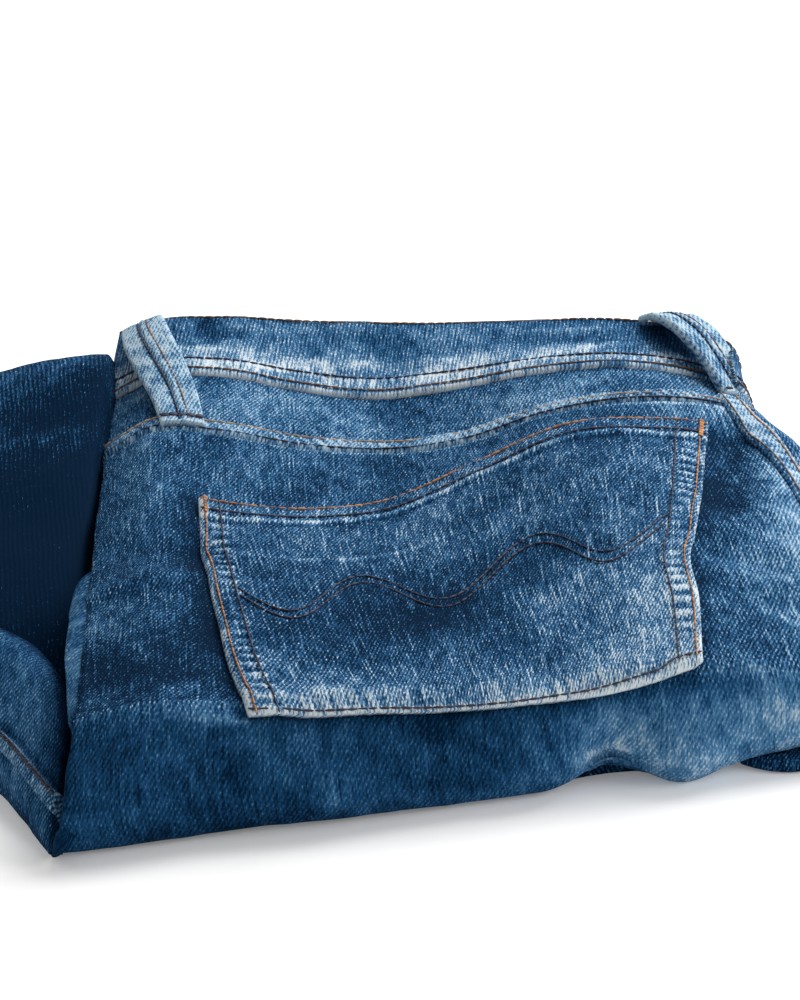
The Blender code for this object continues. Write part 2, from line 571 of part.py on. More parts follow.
def seat_ring(t):
    """Closed section of the hidden layers under the seat, rear bottom first."""
    v = np.concatenate([spread(0.12, 0.93, 4), spread(1.04, 5, 13)])
    inset = np.where(v < 1, PLY_DROP + BAND_CLOTH + PLY_CLEARANCE, CLOTH + INNER_CLEARANCE)
    cover = top_moved(np.full(v.shape, t), v, -inset)
    nose = top(np.full(5, t), spread(5.7, 6.6, 5))
    nose[:, 1] += NOSE_ROOM[0] + NOTCH_EASE * math.exp(-((t - NOTCH_SHARE) / 0.08) ** 2)
    nose[:, 2] -= NOSE_ROOM[1]
    cover = np.vstack([cover, nose])
    x, y, z = cover[0]
    squeeze = min(1.0, (z - 14) / 27)
    outline = [(REAR_NOTCH, 12.3), (103, 12.5)]
    outline += [rear_fold_point(x, a, CLOTH + 2.2)[1:] for a in np.radians(spread(-50, 50, 6))]
    outline += [(108, 34.0), (105.5, 35.8), (106, 38.6)]
    rear = [(x, REAR_NOTCH, 0)] + [(x, py, 12.5 + (pz - 12.5) * squeeze) for py, pz in outline]
    ply_foot = rear[-1][2] + 0.6
    for share, recess in ((0.0, 1.5), (0.35, 0.4), (0.5, 3.5), (0.62, 0.6), (0.9, 0.2)):
        rear.append((x, y - recess, ply_foot + (z - ply_foot) * share))
    tuck = top_moved(np.array([t]), np.array([9.0]), -CLOTH)[0]
    back_step = 16.0 * float(np.clip((tuck[0] - 82) / 8, 0, 1))
    front = [(tuck[0], tuck[1] + 0.9, tuck[2] + 0.8), (tuck[0], tuck[1] + 1.2 + back_step, tuck[2] + 0.9),
             (tuck[0], tuck[1] + 1.4 + back_step, 0)]
    ring = np.array(rear + [tuple(p) for p in cover] + front)
    if t < CORE_SHARES[0] + 0.001:
        ring[:, 0] = CORE_LEFT
    return ring


def thigh_ring(a):
    b = spread(0.6, 10.6, 18)
    cover = moved(thigh, np.full(b.shape, a), b, -(CLOTH + 2 * INNER_CLEARANCE), -1.0)
    cover[:, 2] = np.maximum(cover[:, 2], 2.0)
    cover[:, 0] = cover[:, 0].mean() + 2.0 * a
    x = cover[0, 0]
    return np.vstack([[(x, cover[0, 1] - 4.5, 0)], cover, [(x, cover[-1, 1] + 0.2, 0)]])


def shin_ring(a):
    b = spread(0.7, 3.3, 8)
    cover = moved(shin, np.full(b.shape, a), b, -(CLOTH + INNER_CLEARANCE))
    cover[:, 1] = np.minimum(cover[:, 1], THIGH[-1].y - 2.5)
    start, end = cover[0], cover[-1]
    return np.vstack([[(start[0], start[1] + 1.5, 0)], cover, [(end[0], end[1], 0)]])


def ply_ring(v):
    """Closed section of the right side: one bulge over another, then what fills the panel."""
    row = np.array([v])
    edge = bare_top(np.array([1.0]), row)[0]
    under = bare_top(np.array([2.0]), row)[0]
    out = bare_top(np.array([1.5]), row)[0][0] - edge[0]
    ease = min((v - PLY_SPAN[0]) / PLY_ENDS[0], (PLY_SPAN[1] - v) / PLY_ENDS[1], 1.0)
    ease = 0.25 + 0.75 * math.sqrt(max(1 - (1 - ease) ** 2, 0))
    room = under[2] - PLY_CLEARANCE
    root = edge[0] - PLY_ROOTS
    outline = [(root, 0.0)]
    for ply in SIDE_PLIES:
        middle = (ply.start + ply.end) / 2 * room
        half = (ply.end - ply.start) / 2 * room
        bulge = out * ply.reach * ease
        for angle in np.radians(spread(-66, 66, 5)):
            outline.append((edge[0] + bulge * math.cos(angle), middle + half * math.sin(angle)))
    fill = max(edge[2] - under[2] - 2 * (CLOTH + INNER_CLEARANCE), 1.5) / 2
    centre = (edge[2] + under[2]) / 2
    swell = max(out - CLOTH - INNER_CLEARANCE, 1.0) * ease
    outline.append((edge[0] - 1.0, room + 0.2))
    outline.append((edge[0] - 1.2, under[2] + CLOTH + INNER_CLEARANCE))
    for angle in np.radians(spread(-50, 75, 5)):
        outline.append((edge[0] + swell * math.cos(angle), centre + fill * math.sin(angle)))
    outline.append((root, centre + fill))
    return np.array([(x, edge[1], max(z, 0.0)) for x, z in outline])


def add_bridge(name, low, high, collection):
    """A block that joins two lobes of the hidden layers under the turned folds."""
    bpy.ops.mesh.primitive_cube_add(size=1)
    block = bpy.context.object
    shift = (CENTRE[0], CENTRE[1], 0.0)
    block.location = [((a + b) / 2 - s) * METRE for a, b, s in zip(low, high, shift)]
    block.scale = [(b - a) * METRE for a, b in zip(low, high)]
    block.name = name
    for owner in block.users_collection:
        owner.objects.unlink(block)
    collection.objects.link(block)
    return block


def make_inner_layers(collection, cutters):
    """Everything that the folded legs hide, as one rounded solid with layered edges."""
    body = loft("inner_layers", [seat_ring(t) for t in CORE_SHARES], "dark", collection)
    lobes = [
        loft("thigh_filling", [thigh_ring(a) for a in spread(0.02, 0.85, 12)], "dark", cutters),
        loft("shin_filling", [shin_ring(a) for a in spread(0.03, 2.2, 9)], "dark", cutters),
        loft("side_plies", [ply_ring(v) for v in spread(*PLY_SPAN, 19)], "dark", cutters),
        add_bridge("thigh_bridge", (-103, -30, 0.9), (-73, 48, 9.3), cutters),
        add_bridge("shin_bridge", (-97, -116, 0.8), (-74, -93, 5.5), cutters),
    ]
    for lobe in lobes:
        lobe.hide_render = True
        lobe.display_type = "WIRE"
        join = body.modifiers.new(lobe.name, "BOOLEAN")
        join.operation = "UNION"
        join.solver = "EXACT"
        join.object = lobe
    return body


def main():
    for obj in list(bpy.data.objects):
        bpy.data.objects.remove(obj, do_unlink=True)
    jeans = bpy.data.collections.new("folded_jeans")
    cutters = bpy.data.collections.new("cutters")
    for collection in (jeans, cutters):
        bpy.context.scene.collection.children.link(collection)
    make_inner_layers(jeans, cutters)
    make_back_panel(jeans)
    make_yoke(jeans)
    make_waistband(jeans)
    make_inner_band(jeans)
    make_front_panel(jeans)
    make_side_seam(jeans)
    make_crotch_edge(jeans)
    make_pocket(jeans)
    make_loop("belt_loop_back", BACK_LOOP, jeans)
    make_loop("belt_loop_side", SIDE_LOOP, jeans)
    make_left_rolls(jeans)
    make_rear_fold(jeans)
    make_hem("leg_hem_lower", 0.0, jeans)
    make_hem("leg_hem_upper", HEM_HEIGHT + GAP, jeans)
    make_under_fold(jeans)


main()
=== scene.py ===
"""Looks of the folded blue jeans: cloth, felled seams, stitches, floor, light and camera."""
import math
from collections import namedtuple

import bpy
import numpy as np
from bpy.props import FloatProperty, FloatVectorProperty, PointerProperty
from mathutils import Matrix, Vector


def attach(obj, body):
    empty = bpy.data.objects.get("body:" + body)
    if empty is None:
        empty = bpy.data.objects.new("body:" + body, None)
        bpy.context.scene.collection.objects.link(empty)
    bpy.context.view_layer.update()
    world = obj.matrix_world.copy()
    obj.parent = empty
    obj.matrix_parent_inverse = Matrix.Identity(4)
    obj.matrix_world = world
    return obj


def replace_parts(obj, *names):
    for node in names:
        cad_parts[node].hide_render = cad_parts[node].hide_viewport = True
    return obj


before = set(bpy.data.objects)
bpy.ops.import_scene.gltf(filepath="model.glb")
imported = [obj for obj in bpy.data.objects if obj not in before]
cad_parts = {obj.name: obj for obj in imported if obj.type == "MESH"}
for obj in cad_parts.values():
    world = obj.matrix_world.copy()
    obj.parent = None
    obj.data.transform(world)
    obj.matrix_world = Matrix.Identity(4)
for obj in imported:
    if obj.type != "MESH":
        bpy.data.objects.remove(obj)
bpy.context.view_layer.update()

bl_info = {
    "name": "Folded jeans",
    "version": (1, 0, 0),
    "blender": (4, 5, 0),
    "location": "3D View > Sidebar > Jeans",
    "description": "Cloth, seams, stitches and studio for a folded pair of blue jeans",
    "category": "Object",
}

# ---------------------------------------------------------------- sizes, in millimetres
CLOTH = 1.4
BAND_CLOTH = 2.6
LOOP_CLOTH = 1.8
POCKET_CLOTH = 1.3
SEAM_CLOTH = 1.0
GAP = 0.3
LOOP_WIDTH = 13.0
PLY_DROP = 6.2
HEM_DEPTH = 30.0
HEM_WIDTH = 168.0
HEM_HEIGHT = 5.8
CENTRE = (-18.1, -17.6)
SHIFT = np.array([*CENTRE, 0.0])
METRE = 0.001

# The top layer, a row for each section from the waistband's edge to the front fold.
SHARES = (0.0, 0.07, 0.17, 0.30, 0.42, 0.55, 0.68, 0.82, 0.93, 1.0)
Section = namedtuple("Section", "name x_left x_right y_left y_right bow reach heights")
SECTIONS = (
    Section("waist_top", -88, 100, 119, 117, 0, 7, (53, 57, 58, 57, 56.5, 56.3, 56.8, 57.5, 55, 51)),
    Section("waist_seam", -88.5, 101, 84, 80, 1, 7, (42, 49, 50, 45.5, 43, 46, 51, 53.6, 51.5, 48)),
    Section("yoke_seam", -87.5, 106, 42, 60, 0, 9, (38, 46, 44.5, 39.3, 37, 39.5, 47.5, 51.2, 49.5, 46)),
    Section("pocket_top", -86.5, 113, -11, 40, 0, 12, (33, 40, 37.5, 34, 33.5, 40.2, 49, 47.6, 45, 42)),
    Section("pocket_mid", -84, 128, -72, -14, 0, 14, (31, 36, 35, 33.5, 33, 36, 42, 41, 37, 31)),
    Section("pocket_low", -82, 143, -126, -72, 0, 12, (29, 32.5, 31, 29.5, 28.5, 29, 31, 29, 24, 18)),
    Section("crease", -82, 146, -136, -82, -1, 11, (28, 31, 29.5, 28, 27, 26.5, 27, 24, 18, 13)),
    Section("belly", -83, 148, -155, -86, -1, 9, (15, 15, 14.5, 14, 13.5, 13, 13, 12.5, 11.5, 10.5)),
    Section("toe", -84, 147, -152, -82, -1, 7, (2.5, 2.5, 2.5, 2.5, 2.5, 2.5, 2.5, 5.5, 6.5, 7)),
    Section("tuck", -83.4, 145, -145, -75, -1, 5, (0, 0, 0, 0, 0, 0, 0, 4.9, 5.2, 5.5)),
)
SKIRT = 0.55
SKIRT_BULGE = 1.0
SKIRT_FOOT = 2.0
SIDE_TURN = 75.0
SIDE_DROP = 0.26
SIDE_LIFTS = (9.0, 18.0)
# Folds of the top layer: ridges (+) and troughs (-); the last column says how much paler a ridge is,
# from wear and painted highlight, and below 0 paints shade into a trough.
Fold = namedtuple("Fold", "name start end spread height wash")
FOLDS = (
    Fold("front_crease", (-80, -130, 29), (-30, -129, 28), 5.0, 0.9, 0.0),
    Fold("seat_valley", (-78, -30, 35), (-58, -33, 36), 8.0, -2.0, 0.0),
    Fold("seat_ridge", (-84, -56, 33), (-60, -53, 35), 5.0, 1.6, 0.0),
    Fold("pocket_hollow", (98, 40, 45), (93, -5, 42), 8.5, -3.3, 0.0),
    Fold("side_ridge", (109, 42, 46), (105, -12, 41), 8.0, 2.2, 0.0),
    Fold("pocket_pinch", (85, -36, 40), (100, -42, 38), 7.0, -1.8, 0.0),
    Fold("hem_pinch", (98, -60, 33), (120, -68, 28), 9.0, -2.2, 0.0),
    Fold("front_notch", (57, -112, 2), (55, -114, 9), 10.0, -8.0, 0.0),
    Fold("front_bulge", (77, -110, 3), (75, -108, 8), 11.0, 3.3, 0.0),
    Fold("slope_trough", (36, -100, 25), (50, -106, 14), 8.0, -1.8, 0.0),
    Fold("left_slope", (-60, -140, 24), (-40, -142, 14), 13.0, -1.5, 0.0),
)
# Finer creases, which only the looks have; their paleness is partly wear and partly painted highlight,
# and their darkening is painted shade.
CREASES = (
    Fold("seat_ridge_line", (-85, -58, 33), (-54, -50, 36), 1.6, 0.45, 0.5),
    Fold("front_crease_line", (-83, -131, 29), (-32, -130, 28), 1.5, 0.5, 0.75),
    Fold("front_crease_pale", (-84, -124, 30), (-42, -122, 30), 7.0, 0.3, 0.45),
    Fold("band_ridge_1", (-62, 111, 58), (10, 110, 57), 1.7, 0.9, 0.50),
    Fold("band_valley_1", (-66, 106.5, 58), (-22, 105.5, 57), 2.6, -1.0, -0.40),
    Fold("band_ridge_2", (-66, 101, 57), (-25, 103, 56), 1.7, 0.8, 0.35),
    Fold("band_ridge_3", (10, 107, 57), (75, 108, 57), 2.0, 0.7, 0.32),
    Fold("band_valley_2", (0, 102, 56), (60, 102.5, 57), 2.5, -0.6, -0.25),
    Fold("band_loop_shade", (-62, 117, 58), (-58, 100, 57), 4.0, -0.5, -0.45),
    Fold("yoke_wave_1", (-30, 70, 47), (-5, 55, 41), 5.0, 0.7, 0.15),
    Fold("yoke_wave_2", (30, 66, 46), (60, 72, 50), 5.0, 0.6, 0.15),
    Fold("seat_wave_1", (-76, 8, 39), (-62, -12, 38), 7.0, 0.7, 0.15),
    Fold("seat_wave_2", (-72, 25, 40), (-50, 18, 38), 8.0, -0.7, 0.0),
    Fold("right_wave_1", (108, -20, 42), (122, -60, 32), 6.0, 0.9, 0.2),
    Fold("right_wave_2", (96, -50, 36), (116, -88, 25), 6.0, 0.9, 0.15),
    Fold("right_wave_3", (118, 0, 40), (124, -30, 36), 5.0, -0.8, 0.0),
    Fold("face_wave_1", (-40, -141, 20), (-10, -137, 10), 8.0, 0.8, 0.1),
    Fold("face_wave_2", (0, -130, 22), (30, -124, 12), 8.0, -0.8, 0.0),
    Fold("face_wave_3", (84, -92, 24), (110, -92, 14), 7.0, 1.0, 0.25),
    Fold("face_wave_4", (60, -96, 26), (90, -86, 26), 4.0, 0.8, 0.2),
    Fold("tuck_flap", (36, -112, 8), (74, -104, 12), 2.0, 0.7, 0.4),
)

# The back pocket's plan outline, from its left to its right corner.
Edge = namedtuple("Edge", "share x_top y_top x_bottom y_bottom")
POCKET_EDGES = (
    Edge(0.00, -58.0, 0.0, -38.5, -130.5),
    Edge(0.14, -43.5, 0.5, -20.5, -128.0),
    Edge(0.28, -24.5, 4.0, -3.0, -124.5),
    Edge(0.42, -5.0, 11.5, 12.5, -123.0),
    Edge(0.56, 19.5, 24.0, 28.0, -118.5),
    Edge(0.70, 42.5, 31.5, 44.5, -111.0),
    Edge(0.85, 66.5, 39.0, 62.0, -104.5),
    Edge(1.00, 91.0, 44.0, 78.7, -96.5),
)
Side = namedtuple("Side", "share left right")
POCKET_SIDES = (Side(0.0, 0, 0), Side(0.25, -1.8, -0.9), Side(0.5, -2.4, -2.3), Side(0.62, -2.3, -3.9),
                Side(0.8, -2.2, -1.2), Side(1.0, 0, 0))
POCKET_LIFTS = (0.7, 1.8)
POCKET_SIZE = (147.0, 146.0)

Stop = namedtuple("Stop", "x y lift")
BACK_LOOP = (Stop(-80.5, 116, 1.7), Stop(-78.5, 107, 3.6), Stop(-74, 90, 4.0), Stop(-69.5, 71, 2.8),
             Stop(-66.5, 56, 1.4), Stop(-64.5, 45, 0.6))
SIDE_LOOP = (Stop(80.5, 116, 2.2), Stop(84, 106, 7.6), Stop(89, 95, 9.2), Stop(95, 84, 6.6),
             Stop(101.5, 75, 1.7), Stop(104, 71, 0.6))

Brow = namedtuple("Brow", "name y z")
THIGH = (
    Brow("rear_foot", 114, 0.0), Brow("rear_low", 121, 13), Brow("rear_high", 117, 37),
    Brow("crown_rear", 104, 51), Brow("crown", 88, 55.5), Brow("brow", 66, 50), Brow("ridge", 48, 44.5),
    Brow("slope", 18, 36), Brow("hollow", -15, 28), Brow("low", -40, 20), Brow("front", -54, 9),
    Brow("front_foot", -56, 1.0),
)
THIGH_RIGHT = -90.9
THIGH_LEFT = -193.0
THIGH_DIP = 0.8
THIGH_EDGE = 1.8
CREASE_DROP = 14.0             # how deep the upper roll's cloth goes beside the seat
CREASE_WIDTH = 3.6
# The upper roll's height at shares of its length, from the seat to its left end.
THIGH_ROOF = ((0.0, 1.0), (0.15, 0.95), (0.31, 0.87), (0.6, 0.75), (0.8, 0.57), (0.93, 0.36),
              (1.0, 0.0))
Station = namedtuple("Station", "name foot belly seam crest back")
SHIN = (
    Station("corner", (-87.6, -149, 0), (-87.6, -146, 7), (-86.6, -131, 12.5), (-86.2, -104, 20),
            (-86.2, -88, 16)),
    Station("near", (-104, -113, 0), (-105.5, -109, 9), (-104, -100, 16), (-101, -77, 24.5),
            (-99, -61, 20)),
    Station("middle", (-124, -92, 0), (-126, -88, 10), (-124.5, -80, 17), (-121, -60, 26),
            (-119, -50, 24)),
    Station("far", (-152, -78, 0), (-154, -73, 10), (-152, -64, 17), (-148, -46, 26),
            (-145.5, -37, 23.5)),
    Station("end", (-180, -68, 0), (-182, -63, 7), (-179, -57, 12), (-174, -46, 17), (-171, -38, 14)),
    Station("tip", (-191, -58, 0), (-192, -55, 0.8), (-190, -51, 1.2), (-186, -45, 1.2),
            (-183, -41, 0.6)),
)
SHIN_BACK = 4.0                # row of the lower roll's back edge
SHIN_PAST = 0.12               # how far its cloth goes on under the seat, as a share of a station
REAR_FOLD_MIDDLE = (103.0, 25.0)
REAR_FOLD_RADII = (19.0, 12.3)
REAR_FOLD_SPAN = (-74.0, 96.0)
REAR_NOTCH = 92.0
HEM_MIDDLE = 13.0
# Folded plies under the front panel at the right side.
Ply = namedtuple("Ply", "start end reach")
SIDE_PLIES = (Ply(0.0, 0.34, 0.80), Ply(0.34, 0.63, 1.0), Ply(0.63, 1.0, 0.72))
PLY_SPAN = (0.97, 4.84)
PLY_ENDS = (0.5, 0.7)
PLY_ROOTS = 12.5
PLY_CLEARANCE = 0.5
INNER_CLEARANCE = 2.2
NOSE_ROOM = (5.0, 3.8)
NOTCH_EASE = 4.5
NOTCH_SHARE = 0.6
CORE_LEFT = -78.3
UNDER_FOLD_SPAN = (101.0, 143.0)
UNDER_FOLD_FRONT = (-102.0, -88.0)
UNDER_FOLD_DEPTH = 21.0
UNDER_FOLD_HEIGHT = 4.1
UNDER_FOLD_TURN = 10.0         # how far its left end turns back under the seat
# Shares of a section or of the way across.
EDGE = 0.006                   # a panel stops this far before its seam
SEAM_SHARE = 0.998             # where the seat and the yoke end, at the side seam
LAP = 0.02                     # how far a tucked edge shows past its seam's line
TUCK = 0.05                    # how far a panel goes under the next
PANEL_EDGE = (0.985, 1.01)     # the front panel's edge under the side seam
SEAM_STRIP = (0.955, 0.997)    # the side seam's strip
CREASE_ROW = 6.0               # a patch that would hang over the front crease is held near this row
CREASE_HOLD = 0.26
LOWEST_PATCH_ROW = 6.9
CORNER_ROWS = (4.9, 6.5)       # the front panel's corner is rounded between these rows
CORNER_ROUND = 0.56
NARROWEST = 10.5               # the narrowest strip that is cut
# Row numbers of the top layer's table.
WAIST_SEAM, YOKE_SEAM, POCKET_FOOT, LAST_ROW = 1, 2, 5, 9
# Grid counts: across the turned left fold, and across the back.
FOLD_COUNT = 8
BACK_COUNT = 150
ROW_POINTS = 150               # points along a stitch row of the pocket
TOP_NUMBERS = range(len(SECTIONS))
# The camera, in metres and degrees.
LENS = 126.0
CAMERA_DISTANCE = 1.0
CAMERA_RISE = 20.0
AIM_HEIGHT = 0.040
FLOOR_REACH = 3.0


# ---------------------------------------------------------------- curves through tables
def smooth(knots, values, at):
    """A smooth curve through values (one row per knot), read at each number in at."""
    knots = np.asarray(knots, float)
    values = np.asarray(values, float)
    at = np.atleast_1d(np.asarray(at, float))
    slopes = np.gradient(values, knots, axis=0)
    i = np.clip(np.searchsorted(knots, at, side="right") - 1, 0, len(knots) - 2)
    span = knots[i + 1] - knots[i]
    s = (at - knots[i]) / span
    if values.ndim > 1:
        span = span[:, None]
        s = s[:, None]
    rise = s * s * (3 - 2 * s)
    return ((1 - rise) * values[i] + rise * values[i + 1]
            + s * (1 - s) ** 2 * slopes[i] * span - s * s * (1 - s) * slopes[i + 1] * span)


def along_rows(columns, v):
    """Read columns (points x rows) at the row number v, smoothly."""
    slopes = np.gradient(columns, axis=1)
    n = np.arange(len(v))
    i = np.clip(v.astype(int), 0, columns.shape[1] - 2)
    s = v - i
    rise = s * s * (3 - 2 * s)
    return ((1 - rise) * columns[n, i] + rise * columns[n, i + 1]
            + s * (1 - s) ** 2 * slopes[n, i] - s * s * (1 - s) * slopes[n, i + 1])


HEIGHTS = np.array([row.heights for row in SECTIONS], float)
LEFTS = np.array([(row.x_left, row.y_left) for row in SECTIONS], float)
RIGHTS = np.array([(row.x_right, row.y_right) for row in SECTIONS], float)
BOWS = np.array([row.bow for row in SECTIONS], float)
REACHES = np.array([row.reach for row in SECTIONS], float)


def bare_top(t, v):
    """Top layer without its folds. t: -1..0 turned fold, 0..1 across, 1..2 down the side."""
    across = clamp(t)
    z = along_rows(smooth(SHARES, HEIGHTS.T, across), v)
    ends = LEFTS[None] + (RIGHTS - LEFTS)[None] * across[:, None, None]
    x = along_rows(ends[:, :, 0], v)
    y = along_rows(ends[:, :, 1] + BOWS[None] * np.sin(math.pi * across)[:, None], v)
    down = clamp(-t)
    upright = clamp(z / 15)
    x = x + (1.5 * down ** 2 - SKIRT_BULGE * np.sin(math.pi * down)) * upright
    x = x - SKIRT_FOOT * down * (1 - upright)
    turn = clamp((z - SIDE_LIFTS[0]) / (SIDE_LIFTS[1] - SIDE_LIFTS[0]))
    side = clamp(t - 1) * (math.pi / 2 + math.radians(SIDE_TURN) * turn)
    reach = along_rows(np.repeat(REACHES[None], len(t), axis=0), v)
    x = x + reach * np.sin(side)
    drop = (1 - (1 - SIDE_DROP) * turn) * (1 - np.cos(side))
    return np.stack([x, y, z * (1 - SKIRT * down) * (1 - drop)], axis=1)


def normals_of(shape, t, v, step=0.004):
    """Outward unit normals of a surface function."""
    dt = shape(t + step, v) - shape(t - step, v)
    dv = shape(t, v + step) - shape(t, v - step)
    n = np.cross(dv, dt)
    return n / np.maximum(np.linalg.norm(n, axis=1, keepdims=True), 1e-9)


def to_segment(points, start, end):
    """Distance from each point to the line between start and end, and the share along it."""
    start = np.asarray(start, float)
    run = np.asarray(end, float) - start
    s = (points - start) @ run / max(run @ run, 1e-9)
    near = clamp(s)
    return np.linalg.norm(points - start - near[:, None] * run, axis=1), s


def top(t, v):
    """Top layer with its largest folds."""
    t, v = (a.ravel() for a in np.broadcast_arrays(np.asarray(t, float), np.asarray(v, float)))
    base = bare_top(t, v)
    out = normals_of(bare_top, t, v)
    push = sum(f.height * bell(to_segment(base, f.start, f.end)[0], f.spread) for f in FOLDS)
    moved = base + out * push[:, None]
    moved[:, 2] = np.maximum(moved[:, 2], 0.0)
    return moved


def top_moved(t, v, distance):
    """Points of the top layer, moved out (or in, if negative) by distance."""
    t, v = (a.ravel() for a in np.broadcast_arrays(np.asarray(t, float), np.asarray(v, float)))
    return top(t, v) + normals_of(top, t, v) * np.asarray(distance, float).reshape(-1, 1)


def place_on_top(x, y):
    """Shares (t, v) of the top layer's point that lies at x, y in plan."""
    x = np.asarray(x, float)
    y = np.asarray(y, float)
    low = np.zeros_like(x)
    high = np.full_like(x, LOWEST_PATCH_ROW)
    for _ in range(40):
        v = (low + high) / 2
        left, right = (np.stack([smooth(TOP_NUMBERS, ends[:, k], v) for k in (0, 1)])
                       for ends in (LEFTS, RIGHTS))
        t = (x - left[0]) / (right[0] - left[0])
        bow = smooth(TOP_NUMBERS, BOWS, v) * np.sin(math.pi * clamp(t))
        too_far = left[1] + (right[1] - left[1]) * t + bow > y
        low = np.where(too_far, v, low)
        high = np.where(too_far, high, v)
    past = np.maximum(v - CREASE_ROW, 0.0)
    return t, np.minimum(v, CREASE_ROW) + CREASE_HOLD * (1 - np.exp(-past / CREASE_HOLD))


# ---------------------------------------------------------------- uneven, hand-worn detail
def clamp(value):
    return np.clip(value, 0, 1)


def bell(gap, width):
    """1 where gap is 0, falling to 0 over a width."""
    return np.exp(-(gap / width) ** 2)


def ripples(points, wavelength, seed, waves=14, stretch=(1.0, 1.0, 1.0)):
    """Smooth uneven hills over the points, about -1 to 1, the same on each run."""
    rng = np.random.default_rng(seed)
    scaled = np.asarray(points, float) * np.asarray(stretch[:np.shape(points)[1]])
    total = np.zeros(len(scaled))
    for _ in range(waves):
        way = rng.normal(size=scaled.shape[1])
        way /= np.linalg.norm(way)
        length = wavelength * rng.uniform(0.6, 1.6)
        total += np.sin(scaled @ way * 2 * math.pi / length + rng.uniform(0, 2 * math.pi))
    return total / math.sqrt(waves) * 0.9


def window(value, low, high, soft):
    """1 between low and high, falling softly to 0 outside."""
    rise = clamp((value - low) / soft + 0.5)
    fall = clamp((high - value) / soft + 0.5)
    return rise * rise * (3 - 2 * rise) * fall * fall * (3 - 2 * fall)


def roping(along, across, pitch, lean, seed):
    """Uneven puckers across a seam, 0 in their troughs and 1 on their tops."""
    rng = np.random.default_rng(seed)
    drift = sum(rng.uniform(0.3, 0.7) * np.sin(along / (pitch * k) + rng.uniform(0, 6.28))
                for k in (0.9, 1.7, 3.1))
    wave = np.sin(2 * math.pi * (along / pitch + lean * across) + 1.6 * drift)
    strength = 0.65 + 0.35 * np.sin(along / (pitch * 2.3) + rng.uniform(0, 6.28))
    return clamp(0.5 + 0.5 * wave * strength)


def crease_marks(points):
    """Height and wash of the finer creases at each point."""
    height = np.zeros(len(points))
    wash = np.zeros(len(points))
    for f in CREASES:
        gap, s = to_segment(points, f.start, f.end)
        gap = gap + 0.25 * f.spread * ripples(points, 22.0, len(f.name))
        fade = clamp(1.15 - (2 * clamp(s) - 1) ** 4)
        mark = bell(gap, f.spread) * fade
        height += f.height * mark
        wash += f.wash * mark
    return height, wash


# ---------------------------------------------------------------- cloth pieces
class Cloth:
    """A grid of cloth being worked out: where it lies, its weave's run and its wear."""

    def __init__(self, shape, a_values, b_values, sign=1.0):
        self.rows = len(b_values)
        self.columns = len(a_values)
        a, b = np.meshgrid(a_values, b_values)
        self.a = a.ravel()
        self.b = b.ravel()
        self.points = shape(self.a, self.b)
        self.out = sign * normals_of(shape, self.a, self.b)
        self.lift = np.zeros(len(self.a))
        self.wash = np.zeros(len(self.a))
        self.shade = np.zeros(len(self.a))
        self.soft = np.zeros(len(self.a))
        self.measure()

    def measure(self):
        """Distances along the cloth, from its left edge, head, foot and right edge."""
        grid = self.points.reshape(self.rows, self.columns, 3)
        along = np.linalg.norm(np.diff(grid, axis=1), axis=2)
        down = np.linalg.norm(np.diff(grid, axis=0), axis=2)
        u = np.zeros((self.rows, self.columns))
        w = np.zeros((self.rows, self.columns))
        u[:, 1:] = np.cumsum(along, axis=1)
        w[1:, :] = np.cumsum(down, axis=0)
        middle = u[self.rows // 2]
        self.u = (np.broadcast_to(middle, u.shape) * 0.7 + u * 0.3).ravel()
        self.w = w.ravel()
        self.width = float(u[:, -1].mean())
        self.length = float(w[-1].mean())
        self.from_foot = (w[-1:] - w).ravel()
        self.from_right = (u[:, -1:] - u).ravel()

    def round_edge(self, gap, drop, reach):
        """Lower the outer face near an edge; gap is each point's distance to it."""
        self.lift -= drop * clamp(1 - gap / reach) ** 2

    def near(self, start, end, width):
        """1 on the line from start to end, falling to 0 over a width."""
        return bell(to_segment(self.points, start, end)[0], width)

    def area(self):
        grid = self.points.reshape(self.rows, self.columns, 3)
        across = grid[1:, 1:] - grid[:-1, :-1]
        back = grid[1:, :-1] - grid[:-1, 1:]
        return float(np.linalg.norm(np.cross(across, back), axis=2).sum() / 2)

    def keep_off_floor(self, thickness):
        """Outer and inner points. Where cloth faces down on the floor, its inner face is above."""
        outer = self.points + self.out * self.lift[:, None]
        inner = self.points + self.out * (self.lift - thickness)[:, None]
        for face in (outer, inner):
            face[:, 2] = np.maximum(face[:, 2], 0.0)
        low = (outer[:, 2] < thickness) & (inner[:, 2] < outer[:, 2] + 0.8 * thickness)
        flat = (self.out[:, 2] < -0.3) & low
        inner[:, 2] = np.where(flat, outer[:, 2] + thickness, inner[:, 2])
        return outer, inner


def grid_quads(rows, columns):
    """The faces of a grid of points."""
    r, c = np.meshgrid(np.arange(rows - 1), np.arange(columns - 1), indexing="ij")
    a = (r * columns + c).ravel()
    return np.stack([a, a + 1, a + columns + 1, a + columns], axis=1)


def edge_loop(rows, columns):
    """Point numbers round a grid's edge."""
    top_edge = np.arange(columns)
    right = np.arange(1, rows) * columns + columns - 1
    foot = (rows - 1) * columns + np.arange(columns - 2, -1, -1)
    left = np.arange(rows - 2, 0, -1) * columns
    return np.concatenate([top_edge, right, foot, left])


